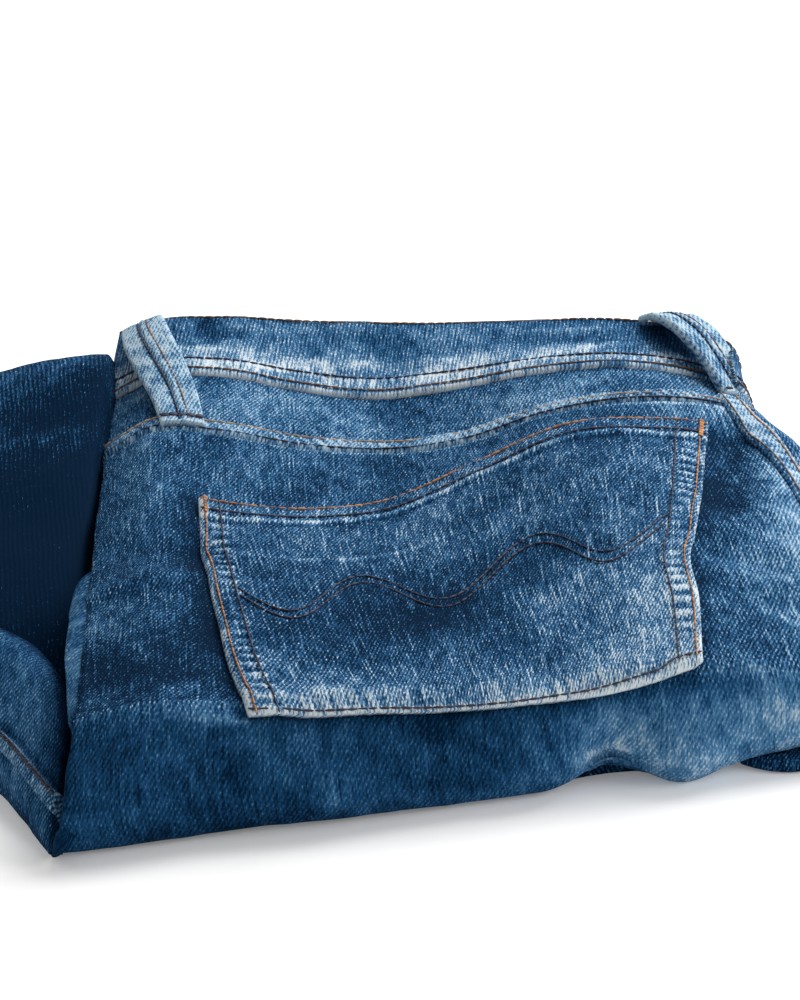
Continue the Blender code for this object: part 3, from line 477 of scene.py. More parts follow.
def mesh_from(name, points, quads, uv, wash, shade, soft=None):
    """A mesh in metres with its weave map and wear marks."""
    mesh = bpy.data.meshes.new(name)
    mesh.from_pydata(((points - SHIFT) * METRE).tolist(), [], [tuple(q) for q in quads])
    layer = mesh.uv_layers.new(name="weave")
    corners = np.empty(len(mesh.loops), int)
    mesh.loops.foreach_get("vertex_index", corners)
    layer.data.foreach_set("uv", (uv[corners] * METRE).ravel())
    soft = np.zeros(len(points)) if soft is None else soft
    for label, values in zip(WEAR_AND_LIGHT_MARKS, (wash, shade, soft)):
        mark = mesh.attributes.new(label, "FLOAT", "POINT")
        mark.data.foreach_set("value", np.clip(values, -1, 1.5).astype(np.float32))
    mesh.shade_smooth()
    mesh.update()
    return mesh


def sheet_mesh(name, cloth, thickness):
    """A closed wall: outer face, inner face and rim."""
    outer, inner = cloth.keep_off_floor(thickness)
    count = cloth.rows * cloth.columns
    loop = edge_loop(cloth.rows, cloth.columns)
    ahead = np.roll(loop, -1)
    rim = np.stack([ahead, loop, loop + count, ahead + count], axis=1)
    outer_quads = grid_quads(cloth.rows, cloth.columns)
    inner_quads = grid_quads(cloth.rows, cloth.columns)[:, ::-1] + count
    quads = np.vstack([outer_quads, inner_quads, rim])
    uv = np.stack([cloth.u, -cloth.w], axis=1)
    return mesh_from(name, np.vstack([outer, inner]), quads, np.vstack([uv, uv + thickness]),
                     np.tile(cloth.wash, 2), np.tile(cloth.shade, 2), np.tile(cloth.soft, 2))


def facing_out(mesh):
    """Turn a closed mesh right side out if its volume comes out negative."""
    corners = np.empty(len(mesh.vertices) * 3)
    mesh.vertices.foreach_get("co", corners)
    corners = corners.reshape(-1, 3)
    mesh.calc_loop_triangles()
    tri = np.empty(len(mesh.loop_triangles) * 3, int)
    mesh.loop_triangles.foreach_get("vertices", tri)
    a, b, c = (corners[tri.reshape(-1, 3)[:, k]] for k in range(3))
    if np.einsum("ij,ij->i", a, np.cross(b, c)).sum() < 0:
        mesh.flip_normals()


def link(name, data):
    """A new object in the scene."""
    made = bpy.data.objects.new(name, data)
    bpy.context.scene.collection.objects.link(made)
    return made


def add_piece(name, mesh):
    """Put a finished mesh in the scene, on its body."""
    piece = link(name, mesh)
    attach(piece, "root")
    return piece


def add_sheet(name, mesh, finish, node):
    """Put a cloth mesh in the scene in place of its solid, and declare its cut."""
    facing_out(mesh)
    mesh.materials.append(finish)
    piece = add_piece(name, mesh)
    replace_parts(piece, node)


def lay(name, cloth, finish, node=None, thickness=CLOTH):
    """Lay a cloth grid as a wall. The node that it stands for has its name, or else node."""
    mesh = sheet_mesh(name, cloth, thickness)
    flat = (max(cloth.width, NARROWEST) * METRE, max(cloth.length, NARROWEST) * METRE)
    area = min(cloth.area() * METRE ** 2, flat[0] * flat[1])
    add_sheet(name, mesh, finish, node or name)


# ---------------------------------------------------------------- materials
def node_group(name, inputs, outputs):
    """A new shader node group with named sockets."""
    group = bpy.data.node_groups.new(name, "ShaderNodeTree")
    for label, kind, value in inputs:
        socket = group.interface.new_socket(label, in_out="INPUT", socket_type=kind)
        socket.default_value = value
    for label, kind in outputs:
        group.interface.new_socket(label, in_out="OUTPUT", socket_type=kind)
    return group, group.nodes.new("NodeGroupInput"), group.nodes.new("NodeGroupOutput")


# The marks: the first is worn paleness and painted light, the second painted shade, the third less
# grain.
WEAR_AND_LIGHT_MARKS = ("wash", "shade", "soft")      # a mesh's attributes: paler, darker, less grain


class Wiring:
    """Short ways to add and join shader nodes in one tree."""

    def __init__(self, tree):
        self.tree = tree

    def node(self, kind, **settings):
        made = self.tree.nodes.new(kind)
        for key, value in settings.items():
            setattr(made, key, value)
        return made

    def join(self, source, target):
        if isinstance(source, bpy.types.NodeSocket):
            self.tree.links.new(source, target)
        else:
            target.default_value = source

    def math(self, operation, a, b=0.0, c=0.0, clamp=False):
        made = self.node("ShaderNodeMath", operation=operation, use_clamp=clamp)
        for socket, value in zip(made.inputs, (a, b, c)):
            self.join(value, socket)
        return made.outputs[0]

    def combine(self, x, y, z=0.0):
        made = self.node("ShaderNodeCombineXYZ")
        for socket, value in zip(made.inputs, (x, y, z)):
            self.join(value, socket)
        return made.outputs[0]

    def noise(self, vector, scale=1.0, detail=2.0, rough=0.5):
        made = self.node("ShaderNodeTexNoise")
        self.join(vector, made.inputs["Vector"])
        made.inputs["Scale"].default_value = scale
        made.inputs["Detail"].default_value = detail
        made.inputs["Roughness"].default_value = rough
        return made.outputs["Fac"]

    def mix(self, factor, a, b):
        made = self.node("ShaderNodeMix", data_type="RGBA")
        self.join(factor, made.inputs["Factor"])
        self.join(a, made.inputs[6])
        self.join(b, made.inputs[7])
        return made.outputs[2]

    def ramp(self, value, low, high):
        made = self.node("ShaderNodeMapRange")
        self.join(value, made.inputs["Value"])
        made.inputs["From Min"].default_value = low
        made.inputs["From Max"].default_value = high
        return made.outputs["Result"]

    def bump(self, height, strength, distance, shader):
        made = self.node("ShaderNodeBump")
        made.inputs["Strength"].default_value = strength
        made.inputs["Distance"].default_value = distance
        self.join(height, made.inputs["Height"])
        self.join(made.outputs["Normal"], shader.inputs["Normal"])


def twill_group():
    """Blue twill: warp threads, white weft specks, slubs, washed clouds and wear."""
    if "washed_twill" in bpy.data.node_groups:
        return bpy.data.node_groups["washed_twill"]
    group, inp, out = node_group(
        "washed_twill",
        [("Deep", "NodeSocketColor", (0.004, 0.019, 0.055, 1)),
         ("Mid", "NodeSocketColor", (0.02, 0.08, 0.18, 1)),
         ("Pale", "NodeSocketColor", (0.12, 0.24, 0.40, 1)),
         ("Bare", "NodeSocketColor", (0.55, 0.62, 0.66, 1)),
         ("Twill Pitch", "NodeSocketFloat", 0.001), ("Lean", "NodeSocketFloat", 0.46),
         ("Slub", "NodeSocketFloat", 0.5), ("Fade", "NodeSocketFloat", 0.0),
         ("Speck", "NodeSocketFloat", 0.5)],
        [("Color", "NodeSocketColor"), ("Height", "NodeSocketFloat"), ("Roughness", "NodeSocketFloat")])
    w = Wiring(group)
    uv = w.node("ShaderNodeUVMap", uv_map="weave").outputs["UV"]
    split = w.node("ShaderNodeSeparateXYZ")
    w.join(uv, split.inputs[0])
    u, v = split.outputs[0], split.outputs[1]
    wash, shade, soft = (w.node("ShaderNodeAttribute", attribute_name=key).outputs["Fac"]
                         for key in WEAR_AND_LIGHT_MARKS)

    def times(a, b, clamp=False):
        return w.math("MULTIPLY", a, b, clamp=clamp)

    def plus(a, b):
        return w.math("ADD", a, b)

    def minus(a, b):
        return w.math("SUBTRACT", a, b)

    def noise_at(across, along, detail, rough):
        return w.noise(w.combine(times(u, across), times(v, along)), 1.0, detail, rough)

    def around(value, strength):
        return times(minus(value, 0.5), strength)

    # Twill lines, weft specks, warp threads, slubs and washed clouds.
    wander = times(noise_at(70.0, 70.0, 2.0, 0.5), 0.0014)
    slope = plus(minus(times(u, 0.88), times(v, inp.outputs["Lean"])), wander)
    turn = w.math("DIVIDE", slope, inp.outputs["Twill Pitch"])
    line = plus(times(w.math("SINE", times(turn, 2 * math.pi)), 0.5), 0.5)
    speck = noise_at(2300.0, 1000.0, 1.0, 0.6)
    thread = noise_at(1500.0, 210.0, 2.0, 0.6)
    streak = noise_at(1250.0, 58.0, 3.0, 0.60)
    cloud = noise_at(42.0, 36.0, 3.0, 0.6)
    patch = noise_at(210.0, 150.0, 3.0, 0.6)
    # How far the cloth has faded here, from its clouds and its wear marks, lighter where light is
    # painted in and darker where shade is painted in.
    fade = plus(around(cloud, 1.3), plus(around(patch, 0.75), 0.5))
    fade = plus(fade, inp.outputs["Fade"])
    fade = minus(plus(fade, times(wash, plus(patch, 0.5))), shade)
    # The weave's own light and dark, gentler where the cloth is marked soft.
    salt = times(w.ramp(speck, 0.54, 0.76), line)
    grain = plus(around(line, 0.40), around(speck, 1.5))
    grain = plus(grain, plus(around(thread, 1.5), times(salt, 0.55)))
    grain = times(minus(grain, 0.06), inp.outputs["Speck"])
    grain = times(grain, minus(1.0, times(soft, 0.55)))
    slub = times(w.ramp(streak, 0.54, 0.70), inp.outputs["Slub"])
    slub = times(slub, minus(1.0, times(soft, 0.62)))
    level = plus(plus(fade, grain), slub)
    level = minus(level, times(w.ramp(streak, 0.44, 0.30), 0.30))
    # From unwashed blue to bare cotton.
    blue = w.mix(times(level, 2.0, clamp=True), inp.outputs["Deep"], inp.outputs["Mid"])
    paler = w.mix(times(minus(level, 0.5), 2.0, clamp=True), blue, inp.outputs["Pale"])
    bare = w.mix(times(minus(level, 1.0), 1.6, clamp=True), paler, inp.outputs["Bare"])
    height = plus(plus(times(line, 0.5), times(thread, 0.8)), times(speck, 0.5))
    w.join(bare, out.inputs["Color"])
    w.join(height, out.inputs["Height"])
    w.join(plus(times(thread, 0.12), 0.78), out.inputs["Roughness"])
    return group


def new_finish(name):
    """A new material, its wiring and its shader."""
    mat = bpy.data.materials.new(name)
    mat.use_nodes = True
    return mat, Wiring(mat.node_tree), mat.node_tree.nodes["Principled BSDF"]


def denim(name, fade=0.0, slub=0.5, speck=1.15, pitch=0.00105, lean=0.46, bare=None):
    """Washed denim; fade over 0 is paler and under 0 darker."""
    if name in bpy.data.materials:
        return bpy.data.materials[name]
    colours = bpy.context.scene.jeans_cloth
    mat, w, shader = new_finish(name)
    weave = w.node("ShaderNodeGroup", node_tree=twill_group())
    blues = {"Deep": colours.deep, "Mid": colours.mid, "Pale": colours.pale,
             "Bare": bare or colours.bare}
    for label, colour in blues.items():
        weave.inputs[label].default_value = (*colour, 1)
    numbers = {"Twill Pitch": pitch, "Lean": lean, "Slub": slub, "Fade": fade, "Speck": speck}
    for label, number in numbers.items():
        weave.inputs[label].default_value = number
    w.join(weave.outputs["Color"], shader.inputs["Base Color"])
    w.join(weave.outputs["Roughness"], shader.inputs["Roughness"])
    w.bump(weave.outputs["Height"], 0.55, 0.00028, shader)
    shader.inputs["Specular IOR Level"].default_value = 0.03
    return mat


def thread_finish(name, colour):
    """Twisted cotton thread, worn lighter here and there."""
    if name in bpy.data.materials:
        return bpy.data.materials[name]
    mat, w, shader = new_finish(name)
    place = w.node("ShaderNodeTexCoord").outputs["Object"]
    worn = w.noise(place, 260.0, 3.0, 0.6)
    ply = w.noise(place, 2600.0, 1.0, 0.5)
    darker = tuple(c * 0.45 for c in colour)
    paler = tuple(min(1.0, c * 1.5 + 0.012) for c in colour)
    base = w.mix(w.ramp(worn, 0.35, 0.65), (*darker, 1), (*paler, 1))
    w.join(base, shader.inputs["Base Color"])
    w.bump(ply, 0.4, 0.0001, shader)
    shader.inputs["Roughness"].default_value = 0.62
    return mat


# ---------------------------------------------------------------- the top layer's pieces
def spread(start, end, count):
    return np.linspace(start, end, count)


def spread_parts(*parts):
    """Numbers over several stretches, each (start, end, count), with the shared ends once."""
    return np.concatenate([spread(*part)[1 if k else 0:] for k, part in enumerate(parts)])


def across_back():
    """Shares across the back and its turned left fold, up to the side seam."""
    return spread_parts((-1, 0, FOLD_COUNT), (0, SEAM_SHARE, BACK_COUNT))


def soften_top(cloth, seed):
    """Creases, small hollows and clouded wear of a piece in the top layer."""
    # Crease marks: worn and painted highlight on ridges, painted shade in valleys.
    height, wash = crease_marks(cloth.points)
    hollows = 0.22 * ripples(cloth.points, 26.0, seed)
    cloth.lift += height + hollows + 0.10 * ripples(cloth.points, 9.0, seed + 1)
    cloth.wash += wash


def tuck_under(cloth, past, thickness):
    """Lower the edge that goes under the next piece."""
    cloth.lift -= (thickness + 0.35) * clamp(past / 0.02)


def shade_left(cloth):
    """The turned fold at the left is less washed than the seat."""
    cloth.shade += 0.35 * clamp(-cloth.a) * clamp(7 - cloth.b)


def beside_pocket(points):
    """Distance from each point to the pocket's sides and foot."""
    run = spread(0, 1, 70)
    none, full = np.zeros(70), np.ones(70)
    rim = np.vstack([pocket_face(run, full), pocket_face(none, run), pocket_face(full, run)])
    return np.array([np.sqrt(((rim - p) ** 2).sum(axis=1).min()) for p in points])


def sew_seat():
    head = YOKE_SEAM + LAP
    rows = spread_parts((YOKE_SEAM - TUCK, head, 5), (head, POCKET_FOOT, 117),
                        (POCKET_FOOT, LAST_ROW, 62))
    cloth = Cloth(top, across_back(), rows)
    soften_top(cloth, 11)
    tuck_under(cloth, head - cloth.b, CLOTH)
    shade_left(cloth)
    # Under the yoke's seam.
    cloth.wash += 0.55 * bell(cloth.w - 2.5, 1.0) - 0.2 * bell(cloth.w, 2.2)
    # Painted light on the slope beside the side seam; a pale band along the front crease, partly worn
    # and partly painted highlight; darker at the right between the pocket's foot and the crease.
    cloth.wash += 0.56 * clamp((cloth.a - 0.80) / 0.15) * clamp((6.3 - cloth.b) / 1.0)
    cloth.wash += 0.18 * bell(cloth.b - 5.5, 0.6) * clamp((cloth.a - 0.55) / 0.2)
    cloth.wash += 0.16 * bell(cloth.b - 5.85, 0.25)
    cloth.shade += 0.20 * window(cloth.b, 5.0, 6.2, 0.6) * clamp((cloth.a - 0.75) / 0.2)
    # The front face: finer weave, painted shade at the left and painted light at the right.
    cloth.soft += clamp((cloth.b - 5.7) / 0.5)
    front = clamp((cloth.b - 6.1) / 0.5)
    cloth.shade += 0.22 * front * clamp(1 - cloth.a / 0.55)
    cloth.wash += 0.54 * front * clamp((cloth.a - 0.45) / 0.25)
    # Painted shade in the corner at the pocket's left foot, over a slight darkening all over.
    left = clamp(1.2 - cloth.a / 0.3)
    cloth.shade += 0.06 + (0.42 * window(cloth.b, 4.35, 5.45, 0.4)
                           + 0.12 * window(cloth.b, 4.5, 5.6, 0.4)) * left
    # Painted shade: in the hollow right of the pocket, round the pocket and beside its left side, in the
    # valley at the left and on the tuck.
    cloth.shade += 0.75 * cloth.near((98, 40, 45), (93, -5, 42), 8.0)
    beside = cloth.near((-62, 0, 39), (-50, -95, 33), 5.0)
    cloth.shade += 0.30 * beside + 0.50 * bell(beside_pocket(cloth.points), 3.6)
    cloth.shade += 0.22 * cloth.near((-78, -30, 35), (-56, -36, 36), 9.0)
    cloth.shade += 0.3 * clamp((cloth.b - 8.2) / 0.6) * clamp(cloth.a / 0.1)
    lay("seat_panel", cloth, denim("seat_denim", slub=0.62), "back_panel")


def sew_yoke():
    head = WAIST_SEAM + LAP
    cloth = Cloth(top, across_back(), spread_parts((WAIST_SEAM - TUCK, head, 5),
                                                   (head, YOKE_SEAM - EDGE, 43)))
    soften_top(cloth, 12)
    tuck_under(cloth, head - cloth.b, CLOTH)
    shade_left(cloth)
    # Roping of the felled seam along its foot, and its rounded edge.
    zone = window(cloth.from_foot, -1.0, 6.6, 1.2)
    rope = roping(cloth.u, cloth.from_foot / 6.0, 3.4, 0.9, 5)
    cloth.lift += zone * (0.55 + 0.45 * rope)
    cloth.wash += zone * (0.75 * rope - 0.02)
    cloth.lift -= 1.3 * clamp(1 - cloth.from_foot / 1.2) ** 1.5
    cloth.wash += 0.15 * bell(cloth.from_foot, 0.6)
    # Clouded wear, darker in the middle, with painted shadow under the band and beside the loop.
    cloth.shade += 0.22 * window(cloth.a, 0.30, 0.62, 0.2) * bell(cloth.w, 22.0)
    cloth.wash += 0.22 + 0.12 * ripples(cloth.points, 40.0, 8)
    cloth.shade += 0.75 * bell(cloth.w, 2.6)
    cloth.shade += 0.45 * cloth.near((-80, 66, 44), (-72, 52, 44), 7.0)
    lay("yoke", cloth, denim("yoke_denim", slub=0.30), "back_yoke")


def sew_waistband():
    cloth = Cloth(top, spread_parts((-1, 0, FOLD_COUNT), (0, 1, BACK_COUNT), (1, 1.62, 10)),
                  spread(0, WAIST_SEAM - EDGE, 40))
    soften_top(cloth, 13)
    shade_left(cloth)
    depth = cloth.w / np.maximum(cloth.w + cloth.from_foot, 1e-6)
    rope = roping(cloth.u, depth * 4, 3.0, 0.8, 6)
    zone = window(depth, 0.78, 0.93, 0.04)
    ribbed = window(depth, 0.55, 0.80, 0.10)
    # Roped wear over the lower row, ribbed wear above it, and worn edges.
    cloth.wash += zone * (0.10 + 0.72 * rope) + ribbed * (0.40 + 0.20 * ripples(cloth.points, 18.0, 17))
    cloth.wash += 0.85 * clamp((depth - 0.955) / 0.03)
    cloth.wash += 0.14 + 0.16 * ripples(cloth.points, 30.0, 9, stretch=(0.4, 1.6, 1.0))
    cloth.wash += 0.45 * bell(cloth.w, 0.8)
    cloth.lift += BAND_CLOTH - CLOTH + zone * 0.45 * (rope - 0.5)
    cloth.lift += 0.25 * bell(depth - 0.62, 0.12) * ripples(cloth.points, 14.0, 10)
    cloth.round_edge(np.minimum(cloth.w, cloth.from_foot), 0.9, 0.9)
    # Painted shadow of the side loop on the band.
    cloth.shade += 0.75 * cloth.near((82, 112, 57), (97, 84, 52), 7.5)
    finish = denim("waistband_denim", slub=0.25, speck=0.9, lean=0.14, bare=(0.64, 0.72, 0.76))
    lay("waistband", cloth, finish, thickness=BAND_CLOTH)
    # The front half of the band lies under it, and shows from behind.
    ply = Cloth(top, spread(0.075, 0.945, 90), spread(0.02, 0.93, 22))
    ply.lift += -PLY_DROP + 0.25 * ripples(ply.points, 24.0, 14)
    ply.round_edge(np.minimum(ply.w, ply.from_foot), 0.7, 0.9)
    ply.wash += 0.3 * bell(ply.w, 1.0) + 0.1
    lay("waistband_front_half", ply, denim("inside_denim", fade=0.25, slub=0.2),
        thickness=BAND_CLOTH)


def round_front(a, b):
    """Top layer past the side seam, its front corner rounded."""
    s = clamp((b - CORNER_ROWS[0]) / (CORNER_ROWS[1] - CORNER_ROWS[0]))
    cut = CORNER_ROUND * s * s * (3 - 2 * s)
    return top(np.where(a > 1, 1 + (a - 1) * (1 - cut), a), b)


def sew_front_panel():
    cloth = Cloth(round_front, spread_parts((*PANEL_EDGE, 4), (PANEL_EDGE[1], 2, 30)),
                  spread_parts((WAIST_SEAM + EDGE, POCKET_FOOT, 110), (POCKET_FOOT, LAST_ROW, 40)))
    soften_top(cloth, 15)
    tuck_under(cloth, (PANEL_EDGE[1] - cloth.a) * 3, CLOTH)
    cloth.wash += 0.25 * bell(cloth.a - 1.15, 0.2)
    # Painted shade where the panel turns down the side.
    cloth.shade += 0.12 * clamp(cloth.a - 1.4)
    lay("front_panel", cloth, denim("front_denim"))


def sew_felled_seams():
    strip = Cloth(top, spread(*SEAM_STRIP, 12), spread(1.66, 6.5, 190))
    strip.lift += 2 * GAP + SEAM_CLOTH
    rope = roping(strip.w, strip.u / 8.0, 4.2, 0.6, 21)
    strip.wash += 0.25 + 0.75 * rope * window(strip.u, 1.5, strip.width - 1.2, 1.0)
    strip.wash += 0.75 * clamp((strip.u - strip.width + 1.8) / 1.2)
    strip.lift += 0.30 * (rope - 0.5)
    strip.round_edge(np.minimum(strip.u, strip.from_right), 0.8, 1.0)
    lay("side_seam", strip, denim("seam_denim", fade=0.08, slub=0.2),
        thickness=SEAM_CLOTH)
    edge = Cloth(top, spread(-0.72, -0.03, 30), spread(3.36, 4.95, 120))
    head = np.sqrt(clamp(1 - clamp((3.66 - edge.b) / 0.30) ** 2))
    tail = clamp((4.97 - edge.b) / 0.7)
    rise = clamp((-0.03 - edge.a) / 0.16) ** 0.7
    bulge = rise * bell(clamp(-0.2 - edge.a), 0.25)
    edge.lift += -0.3 + (CLOTH + GAP + 3.0 * head * tail) * bulge
    edge.lift += 0.12 * ripples(edge.points, 22.0, 22)
    edge.wash += 0.30 * bell(edge.a + 0.15, 0.2) * clamp((edge.b - 3.55) / 0.2)
    edge.soft += 0.8
    # Painted shade at the edge's head and where it turns under at the left.
    edge.shade += 0.9 * bell(edge.w, 1.3) + 0.4 * clamp(-edge.a - 0.35)
    lay("crotch_edge", edge, denim("crotch_denim", slub=0.2))


# ---------------------------------------------------------------- the back pocket
def pocket_plan(u, w):
    """Plan position of the pocket's point at share u across and w down."""
    shares = [e.share for e in POCKET_EDGES]
    head = smooth(shares, [(e.x_top, e.y_top) for e in POCKET_EDGES], u)
    foot = smooth(shares, [(e.x_bottom, e.y_bottom) for e in POCKET_EDGES], u)
    plan = head + (foot - head) * w[:, None]
    sides = smooth([s.share for s in POCKET_SIDES], [(s.left, s.right) for s in POCKET_SIDES], w)
    plan[:, 0] += sides[:, 0] * (1 - u) + sides[:, 1] * u
    return plan


def pocket_face(u, w):
    """The pocket's outer face without its hems."""
    plan = pocket_plan(u, w)
    t, v = place_on_top(plan[:, 0], plan[:, 1])
    lift = POCKET_LIFTS[0] + (POCKET_LIFTS[1] - POCKET_LIFTS[0]) * clamp(w) ** 3
    return top_moved(t, v, lift + POCKET_CLOTH)


HEM_ROWS = (1.4, 8.4)          # stitch rows of the pocket's mouth, from its edge
SIDE_ROWS = (2.2, 8.6)         # stitch rows of its sides and foot


def sew_pocket():
    cloth = Cloth(pocket_face, spread(0, 1, 132), spread(0, 1, 134))
    near_side = np.minimum(cloth.u, cloth.from_right)
    height, wash = crease_marks(cloth.points)
    hollows = 0.25 * ripples(cloth.points, 24.0, 31)
    cloth.lift += 0.8 * height + hollows + 0.1 * ripples(cloth.points, 8.0, 32)
    cloth.wash += wash
    # The mouth's hem, which stands up a little.
    hem = window(cloth.w, -2.0, 11.6, 1.0)
    cloth.lift += 0.55 * hem - 0.35 * bell(cloth.w - HEM_ROWS[1], 0.7)
    ridges = 0.55 * bell(cloth.w - 10.4, 1.0)
    cloth.wash += ridges + 0.12 * bell(cloth.w - 4.5, 2.0)
    # Painted shadow under the hem's edge.
    cloth.shade += 0.40 * bell(cloth.w - 12.9, 1.0)
    # Roping between the rows of the sides, and along the foot.
    low = window(cloth.w, 10.0, cloth.length - 6.0, 6.0)
    rope = roping(cloth.w, near_side / 8.0, 5.2, 0.15, 33)
    side_zone = window(near_side, 2.8, 8.2, 1.0) * low
    cloth.lift += side_zone * 0.55 * (rope - 0.35)
    cloth.wash += side_zone * (0.95 * rope - 0.32)
    cloth.wash += 0.75 * bell(near_side, 1.1)
    foot_rope = roping(cloth.u, cloth.from_foot / 8.0, 4.6, 0.3, 34)
    foot_zone = window(cloth.from_foot, -1.0, 7.5, 2.0) * window(near_side, 4.0, 400.0, 4.0)
    cloth.lift += foot_zone * 0.4 * (foot_rope - 0.4)
    cloth.wash += foot_zone * (0.08 + 0.30 * foot_rope)
    cloth.wash += 0.50 * bell(cloth.from_foot, 1.5)
    cloth.wash += 0.30 * bell(cloth.from_foot, 17.0)
    # A pale patch at the lower right, a dark one in the middle and a pale line above it.
    cloth.wash += 0.42 * bell(cloth.a - 0.85, 0.16) * bell(cloth.b - 0.78, 0.2)
    cloth.shade += 0.62 * bell(cloth.a - 0.42, 0.25) * bell(cloth.b - 0.60, 0.17)
    line_gap = cloth.w - (34 + 8 * np.sin(3.0 * cloth.a))
    cloth.wash += 0.30 * bell(line_gap, 1.2) * window(cloth.a, 0.12, 0.55, 0.15)
    cloth.round_edge(np.minimum(np.minimum(near_side, cloth.from_foot), cloth.w), 0.8, 0.8)
    finish = denim("pocket_denim", slub=0.72, bare=(0.62, 0.69, 0.71))
    lay("back_pocket", cloth, finish, thickness=POCKET_CLOTH)


# ---------------------------------------------------------------- belt loops
def loop_face(stops):
    """Surface function of a loop: a across (-1..1), b along (0..1)."""
    knots = spread(0, 1, len(stops))
    table = [(p.x, p.y, p.lift) for p in stops]

    def face(a, b):
        line = smooth(knots, table, b)
        ahead = smooth(knots, table, b + 0.01)[:, :2] - smooth(knots, table, b - 0.01)[:, :2]
        ahead /= np.linalg.norm(ahead, axis=1, keepdims=True)
        side = np.stack([-ahead[:, 1], ahead[:, 0]], axis=1)
        spot = line[:, :2] + side * a[:, None] * LOOP_WIDTH / 2
        t, v = place_on_top(spot[:, 0], spot[:, 1])
        return top_moved(t, v, line[:, 2] + LOOP_CLOTH)
    return face


def sew_loops():
    for name, stops, seed in (("belt_loop_back", BACK_LOOP, 41), ("belt_loop_side", SIDE_LOOP, 43)):
        cloth = Cloth(loop_face(stops), spread(-1, 1, 26), spread(0, 1, 110))
        across = np.minimum(cloth.u, cloth.from_right)
        groove = bell(cloth.a + 0.16, 0.10)
        cloth.lift += 0.30 * bell(cloth.a - 0.04, 0.10) - 0.35 * groove
        cloth.round_edge(across, 0.9, 1.0)
        cloth.lift += 0.12 * ripples(cloth.points, 7.0, seed)
        worn = 0.74 + 0.25 * bell(across, 1.0)
        cloth.wash += worn + 0.12 * ripples(cloth.points, 9.0, seed + 1)
        cloth.wash += 0.5 * bell(cloth.from_foot, 1.5)
        # Painted shade in the groove and in a band near the foot.
        cloth.shade += 0.6 * groove + 0.2 * bell(cloth.from_foot - 5.0, 1.5)
        finish = denim("loop_denim", fade=0.06, slub=0.12, pitch=0.0012)
        lay(name, cloth, finish, thickness=LOOP_CLOTH)


# ---------------------------------------------------------------- rolls at the left
def thigh(a, b):
    """Upper roll. a: 0 beside the seat to 1 at the left end; b: row number, rear to front."""
    rows = np.array([(r.y, r.z) for r in THIGH], float)
    yz = smooth(range(len(THIGH)), rows, b)
    x = THIGH_RIGHT + (THIGH_LEFT - THIGH_RIGHT) * a
    round_off = clamp(smooth([r[0] for r in THIGH_ROOF], [r[1] for r in THIGH_ROOF], a))
    dip = THIGH_DIP * bell(THIGH_RIGHT - x, 3.0) * clamp(yz[:, 1] / 40)
    crease = CREASE_DROP * (np.maximum(x - THIGH_RIGHT, 0) / CREASE_WIDTH) ** 2.2
    dip = dip + np.minimum(crease, 0.8 * yz[:, 1])
    y = 20 + (yz[:, 0] - 20) * (1 - 0.5 * a ** 3)
    return np.stack([x, y, np.maximum(yz[:, 1] * round_off - dip, THIGH_EDGE * a ** 2)], axis=1)


def shin(a, b):
    """Lower roll. a: station number from the corner; b: 0 foot to 4 back edge."""
    columns = np.array([[s.foot, s.belly, s.seam, s.crest, s.back] for s in SHIN], float)
    across = smooth(range(len(SHIN)), columns.reshape(len(SHIN), -1), a).reshape(-1, 5, 3)
    point = np.stack([along_rows(across[:, :, k], b) for k in range(3)], axis=1)
    point[:, 2] = np.maximum(point[:, 2], 0)
    return point


def shin_wide(a, b):
    """Lower roll with its right edge carried on under the seat and its back edge turned down."""
    point = shin(np.maximum(a, 0), np.minimum(b, SHIN_BACK))
    past = clamp(-a) / SHIN_PAST
    point[:, 0] += 3.4 * past
    point[:, 2] -= np.minimum(9.0 * past ** 1.5, 0.85 * point[:, 2])
    down = clamp(b - SHIN_BACK) * clamp(2.2 - a)
    point[:, 1] += 5.0 * np.sin(math.pi / 2 * down)
    point[:, 2] *= np.cos(math.pi / 2 * down)
    return point


def sew_thigh():
    inner_edge = -CREASE_WIDTH / (THIGH_RIGHT - THIGH_LEFT)
    a_values = np.concatenate([spread(inner_edge, 0, 8)[:-1], np.sin(spread(0, math.pi / 2, 64))])
    cloth = Cloth(thigh, a_values, spread(0, 11, 150), sign=-1.0)
    ridge = bell(cloth.b - 6.0, 0.22)
    hollows = 0.5 * ripples(cloth.points, 42.0, 51)
    cloth.lift += 0.5 * ridge + hollows + 0.15 * ripples(cloth.points, 12.0, 52)
    # Painted shade on the roll's lower front, where the seat shades it, a little all over and round its
    # ridge.
    cloth.shade += 0.08 + 0.60 * window(cloth.b, 6.7, 9.8, 1.6) + 0.1 * window(cloth.b, 5.0, 7.0, 1.0)
    # Painted highlight on its ridge and its crown.
    cloth.wash += 0.30 * ridge + 0.22 * bell(cloth.b - 4.0, 0.7)
    # Painted shade in the crease beside the seat.
    cloth.shade += 0.25 * bell(cloth.a, 0.03)
    # Painted shadow of the seat over the roll, fading to the left.
    seat_shadow = cloth.near((-95, 62, 48), (-100, 10, 34), 16.0)
    cloth.shade += 0.25 * seat_shadow - 0.12 * clamp((cloth.a - 0.2) / 0.3)
    finish = denim("shaded_denim", fade=-0.34, slub=0.16, speck=1.0, pitch=0.0012, lean=0.10)
    lay("thigh_roll", cloth, finish)


